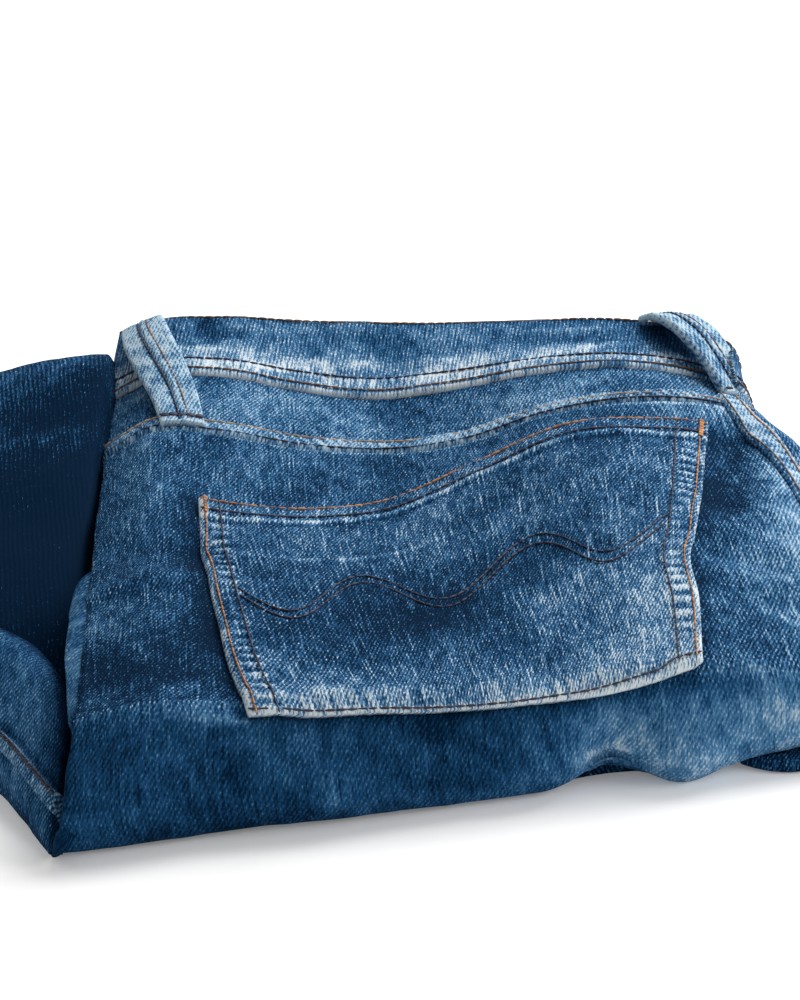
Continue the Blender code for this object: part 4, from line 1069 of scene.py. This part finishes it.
def sew_shin():
    cloth = Cloth(shin_wide, spread_parts((-SHIN_PAST, 0, 7), (0, 5, 90)),
                  spread_parts((0, SHIN_BACK, 60), (SHIN_BACK, 5, 10)))
    # Painted shade beside the seat's corner on the roll's upper part, and a little all over.
    cloth.shade += 0.14 + 0.7 * bell(np.clip(cloth.a, 0, 9), 0.16) * clamp(cloth.b - 1.6)
    cloth.soft += 0.5
    cloth.lift += 0.25 * ripples(cloth.points, 20.0, 53) + 0.1 * ripples(cloth.points, 8.0, 54)
    # Painted highlight on the crest, and a pale line along the seam.
    crest = 0.22 * bell(cloth.b - 2.7, 0.5)
    cloth.wash += crest + 0.25 * bell(cloth.b - 1.75, 0.12)
    # Painted shade near the floor and where the roll turns down at its back.
    cloth.shade += 0.12 * clamp(1.4 - cloth.b) + 0.5 * clamp(cloth.b - 3.5)
    cloth.wash += 0.20 * window(cloth.b, 0.4, 2.2, 0.8) * clamp(cloth.a / 0.4)
    cloth.wash += 0.35 * bell(cloth.a - 0.10, 0.05) * clamp(1.3 - cloth.b)
    cloth.shade += 0.45 * bell(cloth.b - 1.86, 0.07)
    lay("shin_roll", cloth, denim("leg_denim", fade=-0.02, slub=0.4))
    # The felled inseam lies along it.
    strip = Cloth(shin_wide, spread_parts((-0.11, 0, 6), (0, 4.6, 120)), spread(1.3, 1.75, 12))
    strip.lift += GAP + SEAM_CLOTH
    rope = roping(strip.u, strip.w / 5, 4.0, 0.6, 55)
    strip.lift += 0.25 * (rope - 0.5)
    strip.round_edge(np.minimum(strip.w, strip.from_foot), 0.8, 0.9)
    strip.wash += 0.08 + 0.30 * rope
    lay("inseam", strip, denim("seam_denim"),
        thickness=SEAM_CLOTH)


def sew_rolls():
    sew_thigh()
    sew_shin()


# ---------------------------------------------------------------- the rear, hems and hidden layers
def rear_fold(a, b, inset=0.0):
    """Rear fold of both legs. a: 0 left to 1 right; b: angle round it, in degrees."""
    low, high = REAR_FOLD_SPAN
    x = low + (high - low) * a
    along = clamp(np.abs(2 * a - 1))
    depth = REAR_FOLD_RADII[0] * (0.55 + 0.45 * np.sqrt(np.maximum(1 - along ** 6, 0)))
    y = REAR_FOLD_MIDDLE[0] + (depth - inset) * np.cos(np.radians(b))
    z = REAR_FOLD_MIDDLE[1] + (REAR_FOLD_RADII[1] - inset) * np.sin(np.radians(b))
    return np.stack([x, y, z], axis=1)


def tube_ring(width, height, share):
    """Point on a flattened tube's outline, x and z, at a share of the way round."""
    radius = height / 2
    straight = width - height
    arc = math.pi * radius
    total = 2 * straight + 2 * arc
    s = (share % 1.0) * total
    if s < arc:
        angle = s / radius - math.pi / 2
        return straight / 2 + radius * math.cos(angle), radius * math.sin(angle)
    s -= arc
    if s < straight:
        return straight / 2 - s, radius
    s -= straight
    if s < arc:
        angle = s / radius + math.pi / 2
        return -straight / 2 + radius * math.cos(angle), radius * math.sin(angle)
    return -straight / 2 + (s - arc), -radius


def sew_hem(name, bottom, seed):
    """Open leg end, flattened, with its turned edge and puckers."""
    count = 150
    shares = np.arange(count) / count
    walls = [np.array([tube_ring(HEM_WIDTH - 2 * inset, HEM_HEIGHT - 2 * inset, s) for s in shares])
             for inset in (0.0, CLOTH)]
    centre = np.array([HEM_MIDDLE, bottom + HEM_HEIGHT / 2])
    y_values = spread(REAR_NOTCH + GAP, REAR_NOTCH + HEM_DEPTH, 30)
    rows = [(0, y) for y in y_values] + [(1, y) for y in y_values[::-1]]
    points, uv, wash, shade = [], [], [], []
    around = 2 * (HEM_WIDTH - HEM_HEIGHT) + math.pi * HEM_HEIGHT
    for which, y in rows:
        from_end = REAR_NOTCH + HEM_DEPTH - y
        rope = roping(shares * around, np.full(count, from_end / 8), 4.4, 0.5, seed)
        zone = float(window(np.array([from_end]), -1.0, 10.5, 1.0)[0])
        swell = 0.22 * zone * (rope - 0.6) * (0 if which else 1)
        flat = walls[which] * (1 + swell[:, None] * np.array([0.0, 0.35])) + centre
        points.append(np.stack([flat[:, 0], np.full(count, y), np.maximum(flat[:, 1], 0)], axis=1))
        uv.append(np.stack([shares * around, np.full(count, -y)], axis=1))
        wash.append(zone * 0.55 * rope + 0.6 * bell(from_end, 1.2) + 0.05)
        # Painted shade on the inner wall of the leg end.
        shade.append(np.full(count, 0.25 if which else 0.0))
    total = len(rows)
    r, c = np.meshgrid(np.arange(total), np.arange(count), indexing="ij")
    a = (r * count + c).ravel()
    b = (r * count + (c + 1) % count).ravel()
    n = ((r + 1) % total * count).ravel()
    quads = np.stack([a, b, n + (c.ravel() + 1) % count, n + c.ravel()], axis=1)
    mesh = mesh_from(name, np.vstack(points), quads, np.vstack(uv), np.concatenate(wash),
                     np.concatenate(shade))
    add_sheet(name, mesh, denim("leg_denim"), name)


def under_fold(a, b):
    """Lower leg fold at the front right. a: share across; b: share round its nose, top to bottom."""
    front = UNDER_FOLD_FRONT[0] + (UNDER_FOLD_FRONT[1] - UNDER_FOLD_FRONT[0]) * a
    front = front + UNDER_FOLD_TURN * (clamp(0.12 - a) / 0.38) ** 2
    x = UNDER_FOLD_SPAN[0] + (UNDER_FOLD_SPAN[1] - UNDER_FOLD_SPAN[0]) * a
    radius = UNDER_FOLD_HEIGHT / 2
    flat = UNDER_FOLD_DEPTH - radius
    s = b * (2 * flat + math.pi * radius)
    angle = np.clip((s - flat) / radius, 0, math.pi)
    back = np.where(s < flat, radius + flat - s, np.where(s > flat + math.pi * radius,
                    radius + s - flat - math.pi * radius, radius - radius * np.sin(angle)))
    z = (radius + radius * np.cos(angle)) * (1 - 0.3 * clamp(-a / 0.26))
    return np.stack([x, front + back, z], axis=1)


def sew_rear():
    cloth = Cloth(rear_fold, spread(0, 1, 130), spread(-70, 68, 40))
    cloth.lift += 0.3 * ripples(cloth.points, 22.0, 61)
    cloth.wash += 0.2 * bell(cloth.b - 10, 14.0)
    cloth.shade += 0.15
    lay("leg_rear_fold", cloth, denim("leg_denim"))
    sew_hem("leg_hem_lower", 0.0, 63)
    sew_hem("leg_hem_upper", HEM_HEIGHT + GAP, 64)
    cloth = Cloth(under_fold, spread(-0.26, 1, 62), spread(0.02, 0.98, 44))
    # Painted shade: this fold lies under the seat's front edge.
    cloth.shade += 0.25
    lay("leg_under_fold", cloth, denim("leg_denim"))


# ---------------------------------------------------------------- stitches
def stitch_tree():
    """Stitches along a curve: small grains of thread, one after another."""
    if "stitch_rows" in bpy.data.node_groups:
        return bpy.data.node_groups["stitch_rows"]
    tree = bpy.data.node_groups.new("stitch_rows", "GeometryNodeTree")
    face = tree.interface
    face.new_socket("Geometry", in_out="INPUT", socket_type="NodeSocketGeometry")
    for label, value in (("Pitch", 0.0032), ("Stitch Length", 0.0027), ("Thread Radius", 0.00035)):
        face.new_socket(label, in_out="INPUT", socket_type="NodeSocketFloat").default_value = value
    face.new_socket("Seed", in_out="INPUT", socket_type="NodeSocketInt").default_value = 3
    face.new_socket("Thread", in_out="INPUT", socket_type="NodeSocketMaterial")
    face.new_socket("Geometry", in_out="OUTPUT", socket_type="NodeSocketGeometry")
    add = tree.nodes.new
    inp, out = add("NodeGroupInput"), add("NodeGroupOutput")
    grain = add("GeometryNodeMeshUVSphere")
    grain.inputs["Segments"].default_value = 7
    grain.inputs["Rings"].default_value = 6
    grain.inputs["Radius"].default_value = 1.0
    dots = add("GeometryNodeCurveToPoints")
    dots.mode = "LENGTH"
    size = add("ShaderNodeCombineXYZ")
    half, wide = add("ShaderNodeMath"), add("ShaderNodeMath")
    for scaled, factor in ((half, 0.5), (wide, 0.8)):
        scaled.operation = "MULTIPLY"
        scaled.inputs[1].default_value = factor
    vary = add("FunctionNodeRandomValue")
    vary.data_type = "FLOAT"
    vary.inputs[2].default_value = 0.85
    vary.inputs[3].default_value = 1.12
    grow = add("ShaderNodeVectorMath")
    grow.operation = "SCALE"
    instance = add("GeometryNodeInstanceOnPoints")
    realize = add("GeometryNodeRealizeInstances")
    paint = add("GeometryNodeSetMaterial")
    for source, plug, target, socket in (
            (inp, "Geometry", dots, "Curve"), (inp, "Pitch", dots, "Length"),
            (inp, "Stitch Length", half, 0), (inp, "Thread Radius", wide, 0), (wide, 0, size, 0),
            (inp, "Thread Radius", size, 1), (half, 0, size, 2), (inp, "Seed", vary, "Seed"),
            (size, 0, grow, 0), (vary, 1, grow, "Scale"), (dots, "Points", instance, "Points"),
            (grain, "Mesh", instance, "Instance"), (dots, "Rotation", instance, "Rotation"),
            (grow, 0, instance, "Scale"), (instance, "Instances", realize, "Geometry"),
            (realize, "Geometry", paint, "Geometry"), (inp, "Thread", paint, "Material"),
            (paint, "Geometry", out, "Geometry")):
        tree.links.new(source.outputs[plug], target.inputs[socket])
    return tree


def sew_rows(name, lines, thread, seed, pitch=None):
    """Run stitches along each line of points (table millimetres) and make them one piece."""
    settings = bpy.context.scene.jeans_stitches
    pitch = pitch or settings.pitch
    curve = bpy.data.curves.new(name + "_path", "CURVE")
    curve.dimensions = "3D"
    for line in lines:
        spline = curve.splines.new("POLY")
        spline.points.add(len(line) - 1)
        flat = np.ones((len(line), 4))
        flat[:, :3] = (np.asarray(line) - SHIFT) * METRE
        spline.points.foreach_set("co", flat.ravel())
    path = link(name + "_path", curve)
    modifier = path.modifiers.new("stitches", "NODES")
    modifier.node_group = stitch_tree()
    values = {"Pitch": pitch, "Stitch Length": pitch * settings.fill,
              "Thread Radius": settings.radius, "Seed": seed, "Thread": thread}
    for item in modifier.node_group.interface.items_tree:
        if item.in_out == "INPUT" and item.name in values:
            modifier[item.identifier] = values[item.name]
    bpy.context.view_layer.update()
    graph = bpy.context.evaluated_depsgraph_get()
    mesh = bpy.data.meshes.new_from_object(path.evaluated_get(graph))
    mesh.name = name
    mesh.shade_smooth()
    bpy.data.objects.remove(path)
    add_piece(name, mesh)


def top_line(t, v, lift):
    """A line of points over the top layer."""
    t, v = (a.ravel() for a in np.broadcast_arrays(np.asarray(t, float), np.asarray(v, float)))
    points = top(t, v)
    height, _ = crease_marks(points)
    return points + normals_of(top, t, v) * (height + lift)[:, None]


def pocket_line(u, w, lift):
    """A line of points over the pocket."""
    u, w = (a.ravel() for a in np.broadcast_arrays(np.asarray(u, float), np.asarray(w, float)))
    points = pocket_face(u, w)
    height, _ = crease_marks(points)
    return points + normals_of(pocket_face, u, w) * (0.8 * height + lift)[:, None]


def wave(u, low, high, peaks):
    """A plain wave across the pocket: share down at each share across."""
    phase = (u * peaks) % 1.0
    return low + (high - low) * (0.5 - 0.5 * np.cos(2 * math.pi * phase))


def sew_stitches():
    colours = bpy.context.scene.jeans_stitches
    orange, navy, rust, tan = (thread_finish(key + "_thread", tuple(getattr(colours, key)))
                               for key in ("orange", "navy", "rust", "tan"))
    across = spread_parts((-0.6, 0, 12), (0, SEAM_SHARE, 190))
    band_across = np.concatenate([across, spread(1.0, 1.5, 20)[1:]])
    band_lift = BAND_CLOTH - CLOTH + 0.15
    sew_rows("waistband_navy_row", [top_line(band_across, 0.765, band_lift + 0.1)], navy,
             71)
    sew_rows("waistband_rust_rows", [top_line(band_across, 0.93, band_lift + 0.1),
                                     top_line(spread(0.005, 1.4, 220), 0.045, band_lift)],
             rust, 72)
    sew_rows("yoke_navy_row", [top_line(across, 1.965, 0.75)], navy, 73)
    sew_rows("yoke_tan_row", [top_line(across, 1.84, 0.75)], tan, 74)
    width, length = POCKET_SIZE
    side_u = [r / width for r in SIDE_ROWS]
    down = spread(0.012, 0.985, ROW_POINTS)
    over = spread(0.012, 0.988, ROW_POINTS)
    mouth = [pocket_line(over, r / length, 0.7) for r in HEM_ROWS]
    outer, inner = ([pocket_line(u, down, lift) for u in (row, 1 - row)]
                    for row, lift in zip(side_u, (0.35, 0.50)))
    foot = pocket_line(over, 1 - SIDE_ROWS[0] / length, 0.25)
    sew_rows("pocket_orange_rows", [mouth[0]] + outer, orange, 75)
    sew_rows("pocket_navy_rows", [mouth[1]] + inner + [foot], navy, 76)
    u = spread(0.07, 0.93, 220)
    motif = [pocket_line(u, wave(u, 0.42, 0.58, 3.0) + gap, 0.22) for gap in (0.0, 0.035)]
    sew_rows("pocket_wave_rows", motif, navy, 77)
    tacks = [pocket_line(u_at + 0.0016 * (k - 1.5), spread(0.005, 0.075, 12), 1.0)
             for u_at in (side_u[0], 1 - side_u[0]) for k in range(4)]
    sew_rows("pocket_bar_tacks", tacks, orange, 78, pitch=0.0016)
    seam_v = spread(1.68, 6.4, 300)
    sew_rows("side_seam_rust_row", [top_line(0.961, seam_v, 1.75)], rust, 79)
    sew_rows("side_seam_orange_row", [top_line(0.987, seam_v, 1.75)], orange, 80)
    loops_navy, loops_rust = [], []
    for stops in (BACK_LOOP, SIDE_LOOP):
        face = loop_face(stops)
        b = spread(0.03, 0.95, 90)
        for side, group in ((0.24, loops_rust), (-0.16, loops_navy)):
            group.append(face(np.full(b.shape, side), b))
        a = spread(-0.75, 0.75, 24)
        for k in range(4):
            spot = np.full(a.shape, 0.93 + 0.006 * k)
            loops_navy.append(face(a, spot) + normals_of(face, a, spot) * 0.25)
    sew_rows("loop_navy_rows", loops_navy, navy, 81, pitch=0.0026)
    sew_rows("loop_rust_rows", loops_rust, rust, 82, pitch=0.0026)
    a = spread(0.02, 4.5, 160)
    rows = []
    for b_at in (1.64, 1.70):
        b = np.full(a.shape, b_at)
        rows.append(shin(a, b) + normals_of(shin, a, b) * 1.45)
    sew_rows("inseam_rows", rows, navy, 83)


# ---------------------------------------------------------------- hidden layers, floor, light, camera
def seat_ring(t):
    """Section of the hidden plies under the seat, rear bottom first."""
    v = np.concatenate([spread(0.12, 0.93, 14), spread(1.04, 5, 50)])
    inset = np.where(v < 1, PLY_DROP + BAND_CLOTH + PLY_CLEARANCE, CLOTH + INNER_CLEARANCE)
    cover = top_moved(np.full(v.shape, t), v, -inset)
    nose = top(np.full(9, t), spread(5.7, 6.6, 9))
    nose[:, 1] += NOSE_ROOM[0] + NOTCH_EASE * math.exp(-((t - NOTCH_SHARE) / 0.08) ** 2)
    nose[:, 2] -= NOSE_ROOM[1]
    cover = np.vstack([cover, nose])
    x, y, z = cover[0]
    squeeze = min(1.0, (z - 14) / 27)
    low, high = REAR_FOLD_SPAN
    angles = spread(-50, 50, 16)
    in_fold = rear_fold(np.full(angles.shape, (x - low) / (high - low)), angles, CLOTH + 2.2)
    outline = [(REAR_NOTCH, 12.3), (103, 12.5)] + [(py, pz) for _, py, pz in in_fold]
    outline += [(108, 34.0), (105.5, 35.8), (106, 38.6)]
    rear = [(x, REAR_NOTCH, 0)] + [(x, py, 12.5 + (pz - 12.5) * squeeze) for py, pz in outline]
    ply_foot = rear[-1][2] + 0.6
    for share in spread(0, 0.9, 15):
        recess = 0.4 + 2.6 * (0.5 - 0.5 * math.cos(4 * math.pi * share / 0.9 + 0.6))
        rear.append((x, y - recess, ply_foot + (z - ply_foot) * share))
    tuck = top_moved(np.array([t]), np.array([9.0]), -CLOTH)[0]
    back_step = 16.0 * float(clamp((tuck[0] - 82) / 8))
    front = [(tuck[0], tuck[1] + 0.9, tuck[2] + 0.8),
             (tuck[0], tuck[1] + 1.2 + back_step, tuck[2] + 0.9),
             (tuck[0], tuck[1] + 1.4 + back_step, 0)]
    ring = np.array(rear + [tuple(p) for p in cover] + front)
    if t < 0.031:
        ring[:, 0] = CORE_LEFT
    return ring


def thigh_ring(a):
    """Section of the hidden plies in the upper roll."""
    b = spread(0.6, 10.6, 40)
    a_full = np.full(b.shape, a)
    cover = thigh(a_full, b) + normals_of(thigh, a_full, b) * (CLOTH + 2 * INNER_CLEARANCE)
    cover[:, 2] = np.maximum(cover[:, 2], 2.0)
    cover[:, 0] = cover[:, 0].mean() + 2.0 * a
    x = cover[0, 0]
    return np.vstack([[(x, cover[0, 1] - 4.5, 0)], cover, [(x, cover[-1, 1] + 0.2, 0)]])


def shin_ring(a):
    """Section of the hidden plies in the lower roll."""
    b = spread(0.7, 3.3, 16)
    a_full = np.full(b.shape, a)
    cover = shin(a_full, b) - normals_of(shin, a_full, b) * (CLOTH + INNER_CLEARANCE)
    cover[:, 1] = np.minimum(cover[:, 1], THIGH[-1].y - 2.5)
    start, end = cover[0], cover[-1]
    return np.vstack([[(start[0], start[1] + 1.5, 0)], cover, [(end[0], end[1], 0)]])


def ply_ring(v):
    """Section of the folded plies at the right side, with a groove round each."""
    row = np.array([v])
    edge = bare_top(np.array([1.0]), row)[0]
    under = bare_top(np.array([2.0]), row)[0]
    out = bare_top(np.array([1.5]), row)[0][0] - edge[0]
    ease = min((v - PLY_SPAN[0]) / PLY_ENDS[0], (PLY_SPAN[1] - v) / PLY_ENDS[1], 1.0)
    ease = 0.25 + 0.75 * math.sqrt(max(1 - (1 - ease) ** 2, 0))
    room = under[2] - PLY_CLEARANCE
    root = edge[0] - PLY_ROOTS
    outline = [(root, 0.0)]
    for number, ply in enumerate(SIDE_PLIES):
        middle = (ply.start + ply.end) / 2 * room
        half = (ply.end - ply.start) / 2 * room
        waver = 1 + 0.10 * math.sin(v * 2.6 + number * 2.1) + 0.05 * math.sin(v * 7.3 + number)
        bulge = out * ply.reach * ease * min(waver, 1.08)
        for angle in np.radians(spread(-80, 80, 17)):
            nap = 0.25 * math.exp(-(angle / 0.12) ** 2)
            outline.append((edge[0] + bulge * math.cos(angle) - nap,
                            middle + half * math.sin(angle) * 0.98))
    fill = max(edge[2] - under[2] - 2 * (CLOTH + INNER_CLEARANCE), 1.5) / 2
    centre = (edge[2] + under[2]) / 2
    swell = max(out - CLOTH - INNER_CLEARANCE, 1.0) * ease
    outline.append((edge[0] - 1.0, room + 0.2))
    outline.append((edge[0] - 1.2, under[2] + CLOTH + INNER_CLEARANCE))
    for angle in np.radians(spread(-50, 75, 9)):
        outline.append((edge[0] + swell * math.cos(angle), centre + fill * math.sin(angle)))
    outline.append((root, centre + fill))
    return np.array([(x, edge[1], max(z, 0.0)) for x, z in outline])


def ring_body(rings, first):
    """Points, faces and weave map of one closed body through rings."""
    rings = np.array(rings)
    count = rings.shape[1]
    total = rings.shape[0]
    r, c = np.meshgrid(np.arange(total - 1), np.arange(count), indexing="ij")
    a = (r * count + c).ravel()
    b = (r * count + (c + 1) % count).ravel()
    faces = [tuple(q) for q in np.stack([a, b, b + count, a + count], axis=1).tolist()]
    faces.append(tuple(range(count))[::-1])
    faces.append(tuple(range((total - 1) * count, total * count)))
    round_it = np.linalg.norm(np.diff(rings, axis=1, append=rings[:, :1]), axis=2)
    u = np.cumsum(round_it, axis=1) - round_it
    along = np.linalg.norm(np.diff(rings.mean(axis=1), axis=0), axis=1)
    w = np.concatenate([[0], np.cumsum(along)])[:, None] + np.zeros_like(u)
    points = rings.reshape(-1, 3)
    tri = np.array([(f[0], f[k], f[k + 1]) for f in faces for k in range(1, len(f) - 1)])
    pa, pb, pc = (points[tri[:, k]] for k in range(3))
    if np.einsum("ij,ij->i", pa, np.cross(pb, pc)).sum() < 0:
        faces = [f[::-1] for f in faces]
    faces = [tuple(i + first for i in f) for f in faces]
    return points, faces, np.stack([w.ravel(), u.ravel()], axis=1)


def lay_hidden_plies():
    """The folded plies that lie under the seat, as one body that shows at the edges."""
    points, faces, maps, wash, shade = [], [], [], [], []
    shares = np.concatenate([(0.03, 0.05), spread(0.08, 0.68, 26), spread(0.70, 0.95, 16)])
    # Painted shade on the plies, which show only in the gaps under the top layer and the rolls.
    bodies = (([seat_ring(t) for t in shares], 0.0, 0.30),
              ([thigh_ring(a) for a in spread(0.02, 0.85, 24)], 0, 0.4),
              ([shin_ring(a) for a in spread(0.03, 2.2, 20)], 0, 0.4),
              ([ply_ring(v) for v in spread(*PLY_SPAN, 90)], 0.10, 0.0))
    first = 0
    for rings, pale, dark in bodies:
        place, quads, weave = ring_body(rings, first)
        first += len(place)
        points.append(place)
        faces += quads
        maps.append(weave)
        wash.append(np.full(len(place), pale) + 0.12 * ripples(place, 30.0, 91))
        shade.append(np.full(len(place), dark))
    mesh = mesh_from("hidden_plies", np.vstack(points), faces, np.vstack(maps), np.concatenate(wash),
                     np.concatenate(shade))
    mesh.materials.append(denim("hidden_denim", fade=-0.05, slub=0.3))
    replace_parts(add_piece("hidden_plies", mesh), "inner_layers")


def set_floor():
    """A wide pale table top."""
    settings = bpy.context.scene.jeans_stage
    mesh = bpy.data.meshes.new("floor")
    corners = [(x * FLOOR_REACH, y * FLOOR_REACH, 0) for x, y in ((-1, -1), (1, -1), (1, 1), (-1, 1))]
    mesh.from_pydata(corners, [], [(0, 1, 2, 3)])
    mat, _, shader = new_finish("pale_floor")
    shader.inputs["Base Color"].default_value = (*settings.floor, 1)
    shader.inputs["Roughness"].default_value = 0.9
    shader.inputs["Specular IOR Level"].default_value = 0.1
    shader.inputs["Emission Color"].default_value = (1, 1, 1, 1)
    shader.inputs["Emission Strength"].default_value = settings.floor_glow
    mesh.materials.append(mat)
    link("floor", mesh)


def add_light(name, place, size, energy):
    """A softbox that faces the garment."""
    data = bpy.data.lights.new(name, "AREA")
    data.shape = "RECTANGLE"
    data.size, data.size_y = size
    data.energy = energy
    lamp = link(name, data)
    lamp.location = place
    lamp.rotation_euler = (-Vector(place)).to_track_quat("-Z", "Y").to_euler()


def set_camera():
    """The photo's view: from the front, a little above."""
    data = bpy.data.cameras.new("camera")
    data.lens = LENS
    data.sensor_width = 36.0
    data.clip_start = 0.05
    data.clip_end = 20.0
    camera = link("camera", data)
    rise = math.radians(CAMERA_RISE)
    aim = Vector((-CENTRE[0] * METRE, -CENTRE[1] * METRE, AIM_HEIGHT))
    away = Vector((0, -math.cos(rise), math.sin(rise)))
    camera.location = aim + away * CAMERA_DISTANCE
    camera.rotation_euler = (-away).to_track_quat("-Z", "Y").to_euler()
    bpy.context.scene.camera = camera


def set_stage():
    scene = bpy.context.scene
    settings = scene.jeans_stage
    set_floor()
    world = scene.world or bpy.data.worlds.new("studio")
    scene.world = world
    world.use_nodes = True
    sky = world.node_tree.nodes["Background"]
    sky.inputs["Color"].default_value = (1, 1, 1, 1)
    rays = world.node_tree.nodes.new("ShaderNodeLightPath")
    strength = world.node_tree.nodes.new("ShaderNodeMapRange")
    strength.inputs["To Min"].default_value = settings.sky
    strength.inputs["To Max"].default_value = 1.0
    world.node_tree.links.new(rays.outputs["Is Camera Ray"], strength.inputs["Value"])
    world.node_tree.links.new(strength.outputs["Result"], sky.inputs["Strength"])
    add_light("softbox_top", (0.45, 0.60, 0.90), (0.9, 0.7), settings.softbox)
    add_light("softbox_right", (1.1, -0.25, 0.55), (0.6, 0.6), settings.softbox * 0.35)
    set_camera()
    scene.view_settings.view_transform = "Standard"


# ---------------------------------------------------------------- settings
class JeansCloth(bpy.types.PropertyGroup):
    """The cloth's blues"""
    deep: FloatVectorProperty(name="Unwashed blue", description="Deepest blue of the cloth", size=3,
                              subtype="COLOR", min=0, max=1, default=(0.0005, 0.0115, 0.0340))
    mid: FloatVectorProperty(name="Washed blue", description="Main blue of the cloth", size=3,
                             subtype="COLOR", min=0, max=1, default=(0.0090, 0.0600, 0.1520))
    pale: FloatVectorProperty(name="Pale blue", description="Well washed blue", size=3,
                              subtype="COLOR", min=0, max=1, default=(0.0720, 0.1950, 0.3500))
    bare: FloatVectorProperty(name="Bare cotton", description="Worn edges, down to white cotton", size=3,
                              subtype="COLOR", min=0, max=1, default=(0.4600, 0.5900, 0.6700))


class JeansStitches(bpy.types.PropertyGroup):
    """The stitches' sizes and threads"""
    pitch: FloatProperty(name="Pitch", description="Length of one stitch and its gap", default=0.0028,
                         min=0.001, max=0.01, unit="LENGTH")
    fill: FloatProperty(name="Fill", description="Share of the pitch that thread covers", default=1.02,
                        min=0.3, max=1.2)
    radius: FloatProperty(name="Thread radius", description="Half the thread's thickness",
                          default=0.00038, min=0.0001, max=0.001, unit="LENGTH")
    orange: FloatVectorProperty(name="Orange thread", description="Outer rows", size=3, subtype="COLOR",
                                min=0, max=1, default=(0.42, 0.17, 0.045))
    rust: FloatVectorProperty(name="Rust thread", description="Waistband and seam rows", size=3,
                              subtype="COLOR", min=0, max=1, default=(0.16, 0.075, 0.035))
    tan: FloatVectorProperty(name="Tan thread", description="Yoke row", size=3, subtype="COLOR",
                             min=0, max=1, default=(0.42, 0.28, 0.16))
    navy: FloatVectorProperty(name="Navy thread", description="Inner rows", size=3, subtype="COLOR",
                              min=0, max=1, default=(0.012, 0.010, 0.034))


class JeansStage(bpy.types.PropertyGroup):
    """Floor and light"""
    floor: FloatVectorProperty(name="Floor", description="Colour of the floor", size=3, subtype="COLOR",
                               min=0, max=1, default=(0.90, 0.90, 0.90))
    floor_glow: FloatProperty(name="Floor glow", description="Light table under the floor",
                              default=0.14, min=0, max=2)
    sky: FloatProperty(name="Sky", description="Strength of the white surround", default=0.43,
                       min=0, max=5)
    softbox: FloatProperty(name="Softbox", description="Power of the main softbox", default=14.0, min=0,
                           max=200, unit="POWER")


# ---------------------------------------------------------------- operators
def operator(label, idname, text, action):
    """An operator class that runs one step of the making."""
    def execute(self, context):
        action()
        return {"FINISHED"}
    return type("JEANS_OT_" + idname, (bpy.types.Operator,), {
        "bl_idname": "jeans." + idname, "bl_label": label, "__doc__": text, "execute": execute,
        "bl_options": {"REGISTER", "UNDO"}})


STEPS = (
    operator("Hidden plies", "lay_hidden_plies", "Folded legs under the seat", lay_hidden_plies),
    operator("Seat panel", "sew_seat", "Seat, thigh and front fold", sew_seat),
    operator("Yoke", "sew_yoke", "Back yoke with its felled seam", sew_yoke),
    operator("Waistband", "sew_waistband", "Both plies of the waistband", sew_waistband),
    operator("Front panel", "sew_front_panel", "Front panel beyond the side seam", sew_front_panel),
    operator("Felled seams", "sew_felled_seams", "Side seam and crotch edge", sew_felled_seams),
    operator("Back pocket", "sew_pocket", "Patch pocket with its hems", sew_pocket),
    operator("Belt loops", "sew_loops", "Both belt loops", sew_loops),
    operator("Left rolls", "sew_rolls", "Folded thigh and shin at the left", sew_rolls),
    operator("Rear and hems", "sew_rear", "Rear fold, leg ends and under fold", sew_rear),
    operator("Stitches", "sew_stitches", "All rows of stitches and bar tacks", sew_stitches),
    operator("Stage", "set_stage", "Floor, lights and camera", set_stage),
)


class JEANS_PT_sidebar(bpy.types.Panel):
    """Sizes, colours and steps of the folded jeans"""
    bl_label = "Folded jeans"
    bl_idname = "JEANS_PT_sidebar"
    bl_space_type = "VIEW_3D"
    bl_region_type = "UI"
    bl_category = "Jeans"

    def draw(self, context):
        for label, _ in GROUPS:
            group = getattr(context.scene, label)
            box = self.layout.box()
            for key in group.__annotations__:
                box.prop(group, key)
        for step in STEPS:
            self.layout.operator(step.bl_idname)


GROUPS = (("jeans_cloth", JeansCloth), ("jeans_stitches", JeansStitches), ("jeans_stage", JeansStage))


def register():
    for label, group in GROUPS:
        bpy.utils.register_class(group)
        setattr(bpy.types.Scene, label, PointerProperty(type=group))
    for step in STEPS:
        bpy.utils.register_class(step)
    bpy.utils.register_class(JEANS_PT_sidebar)


def unregister():
    bpy.utils.unregister_class(JEANS_PT_sidebar)
    for step in reversed(STEPS):
        bpy.utils.unregister_class(step)
    for label, group in reversed(GROUPS):
        delattr(bpy.types.Scene, label)
        bpy.utils.unregister_class(group)


def main():
    register()
    for step in STEPS:
        getattr(bpy.ops.jeans, step.bl_idname.split(".")[1])()


if __name__ == "__main__":
    main()
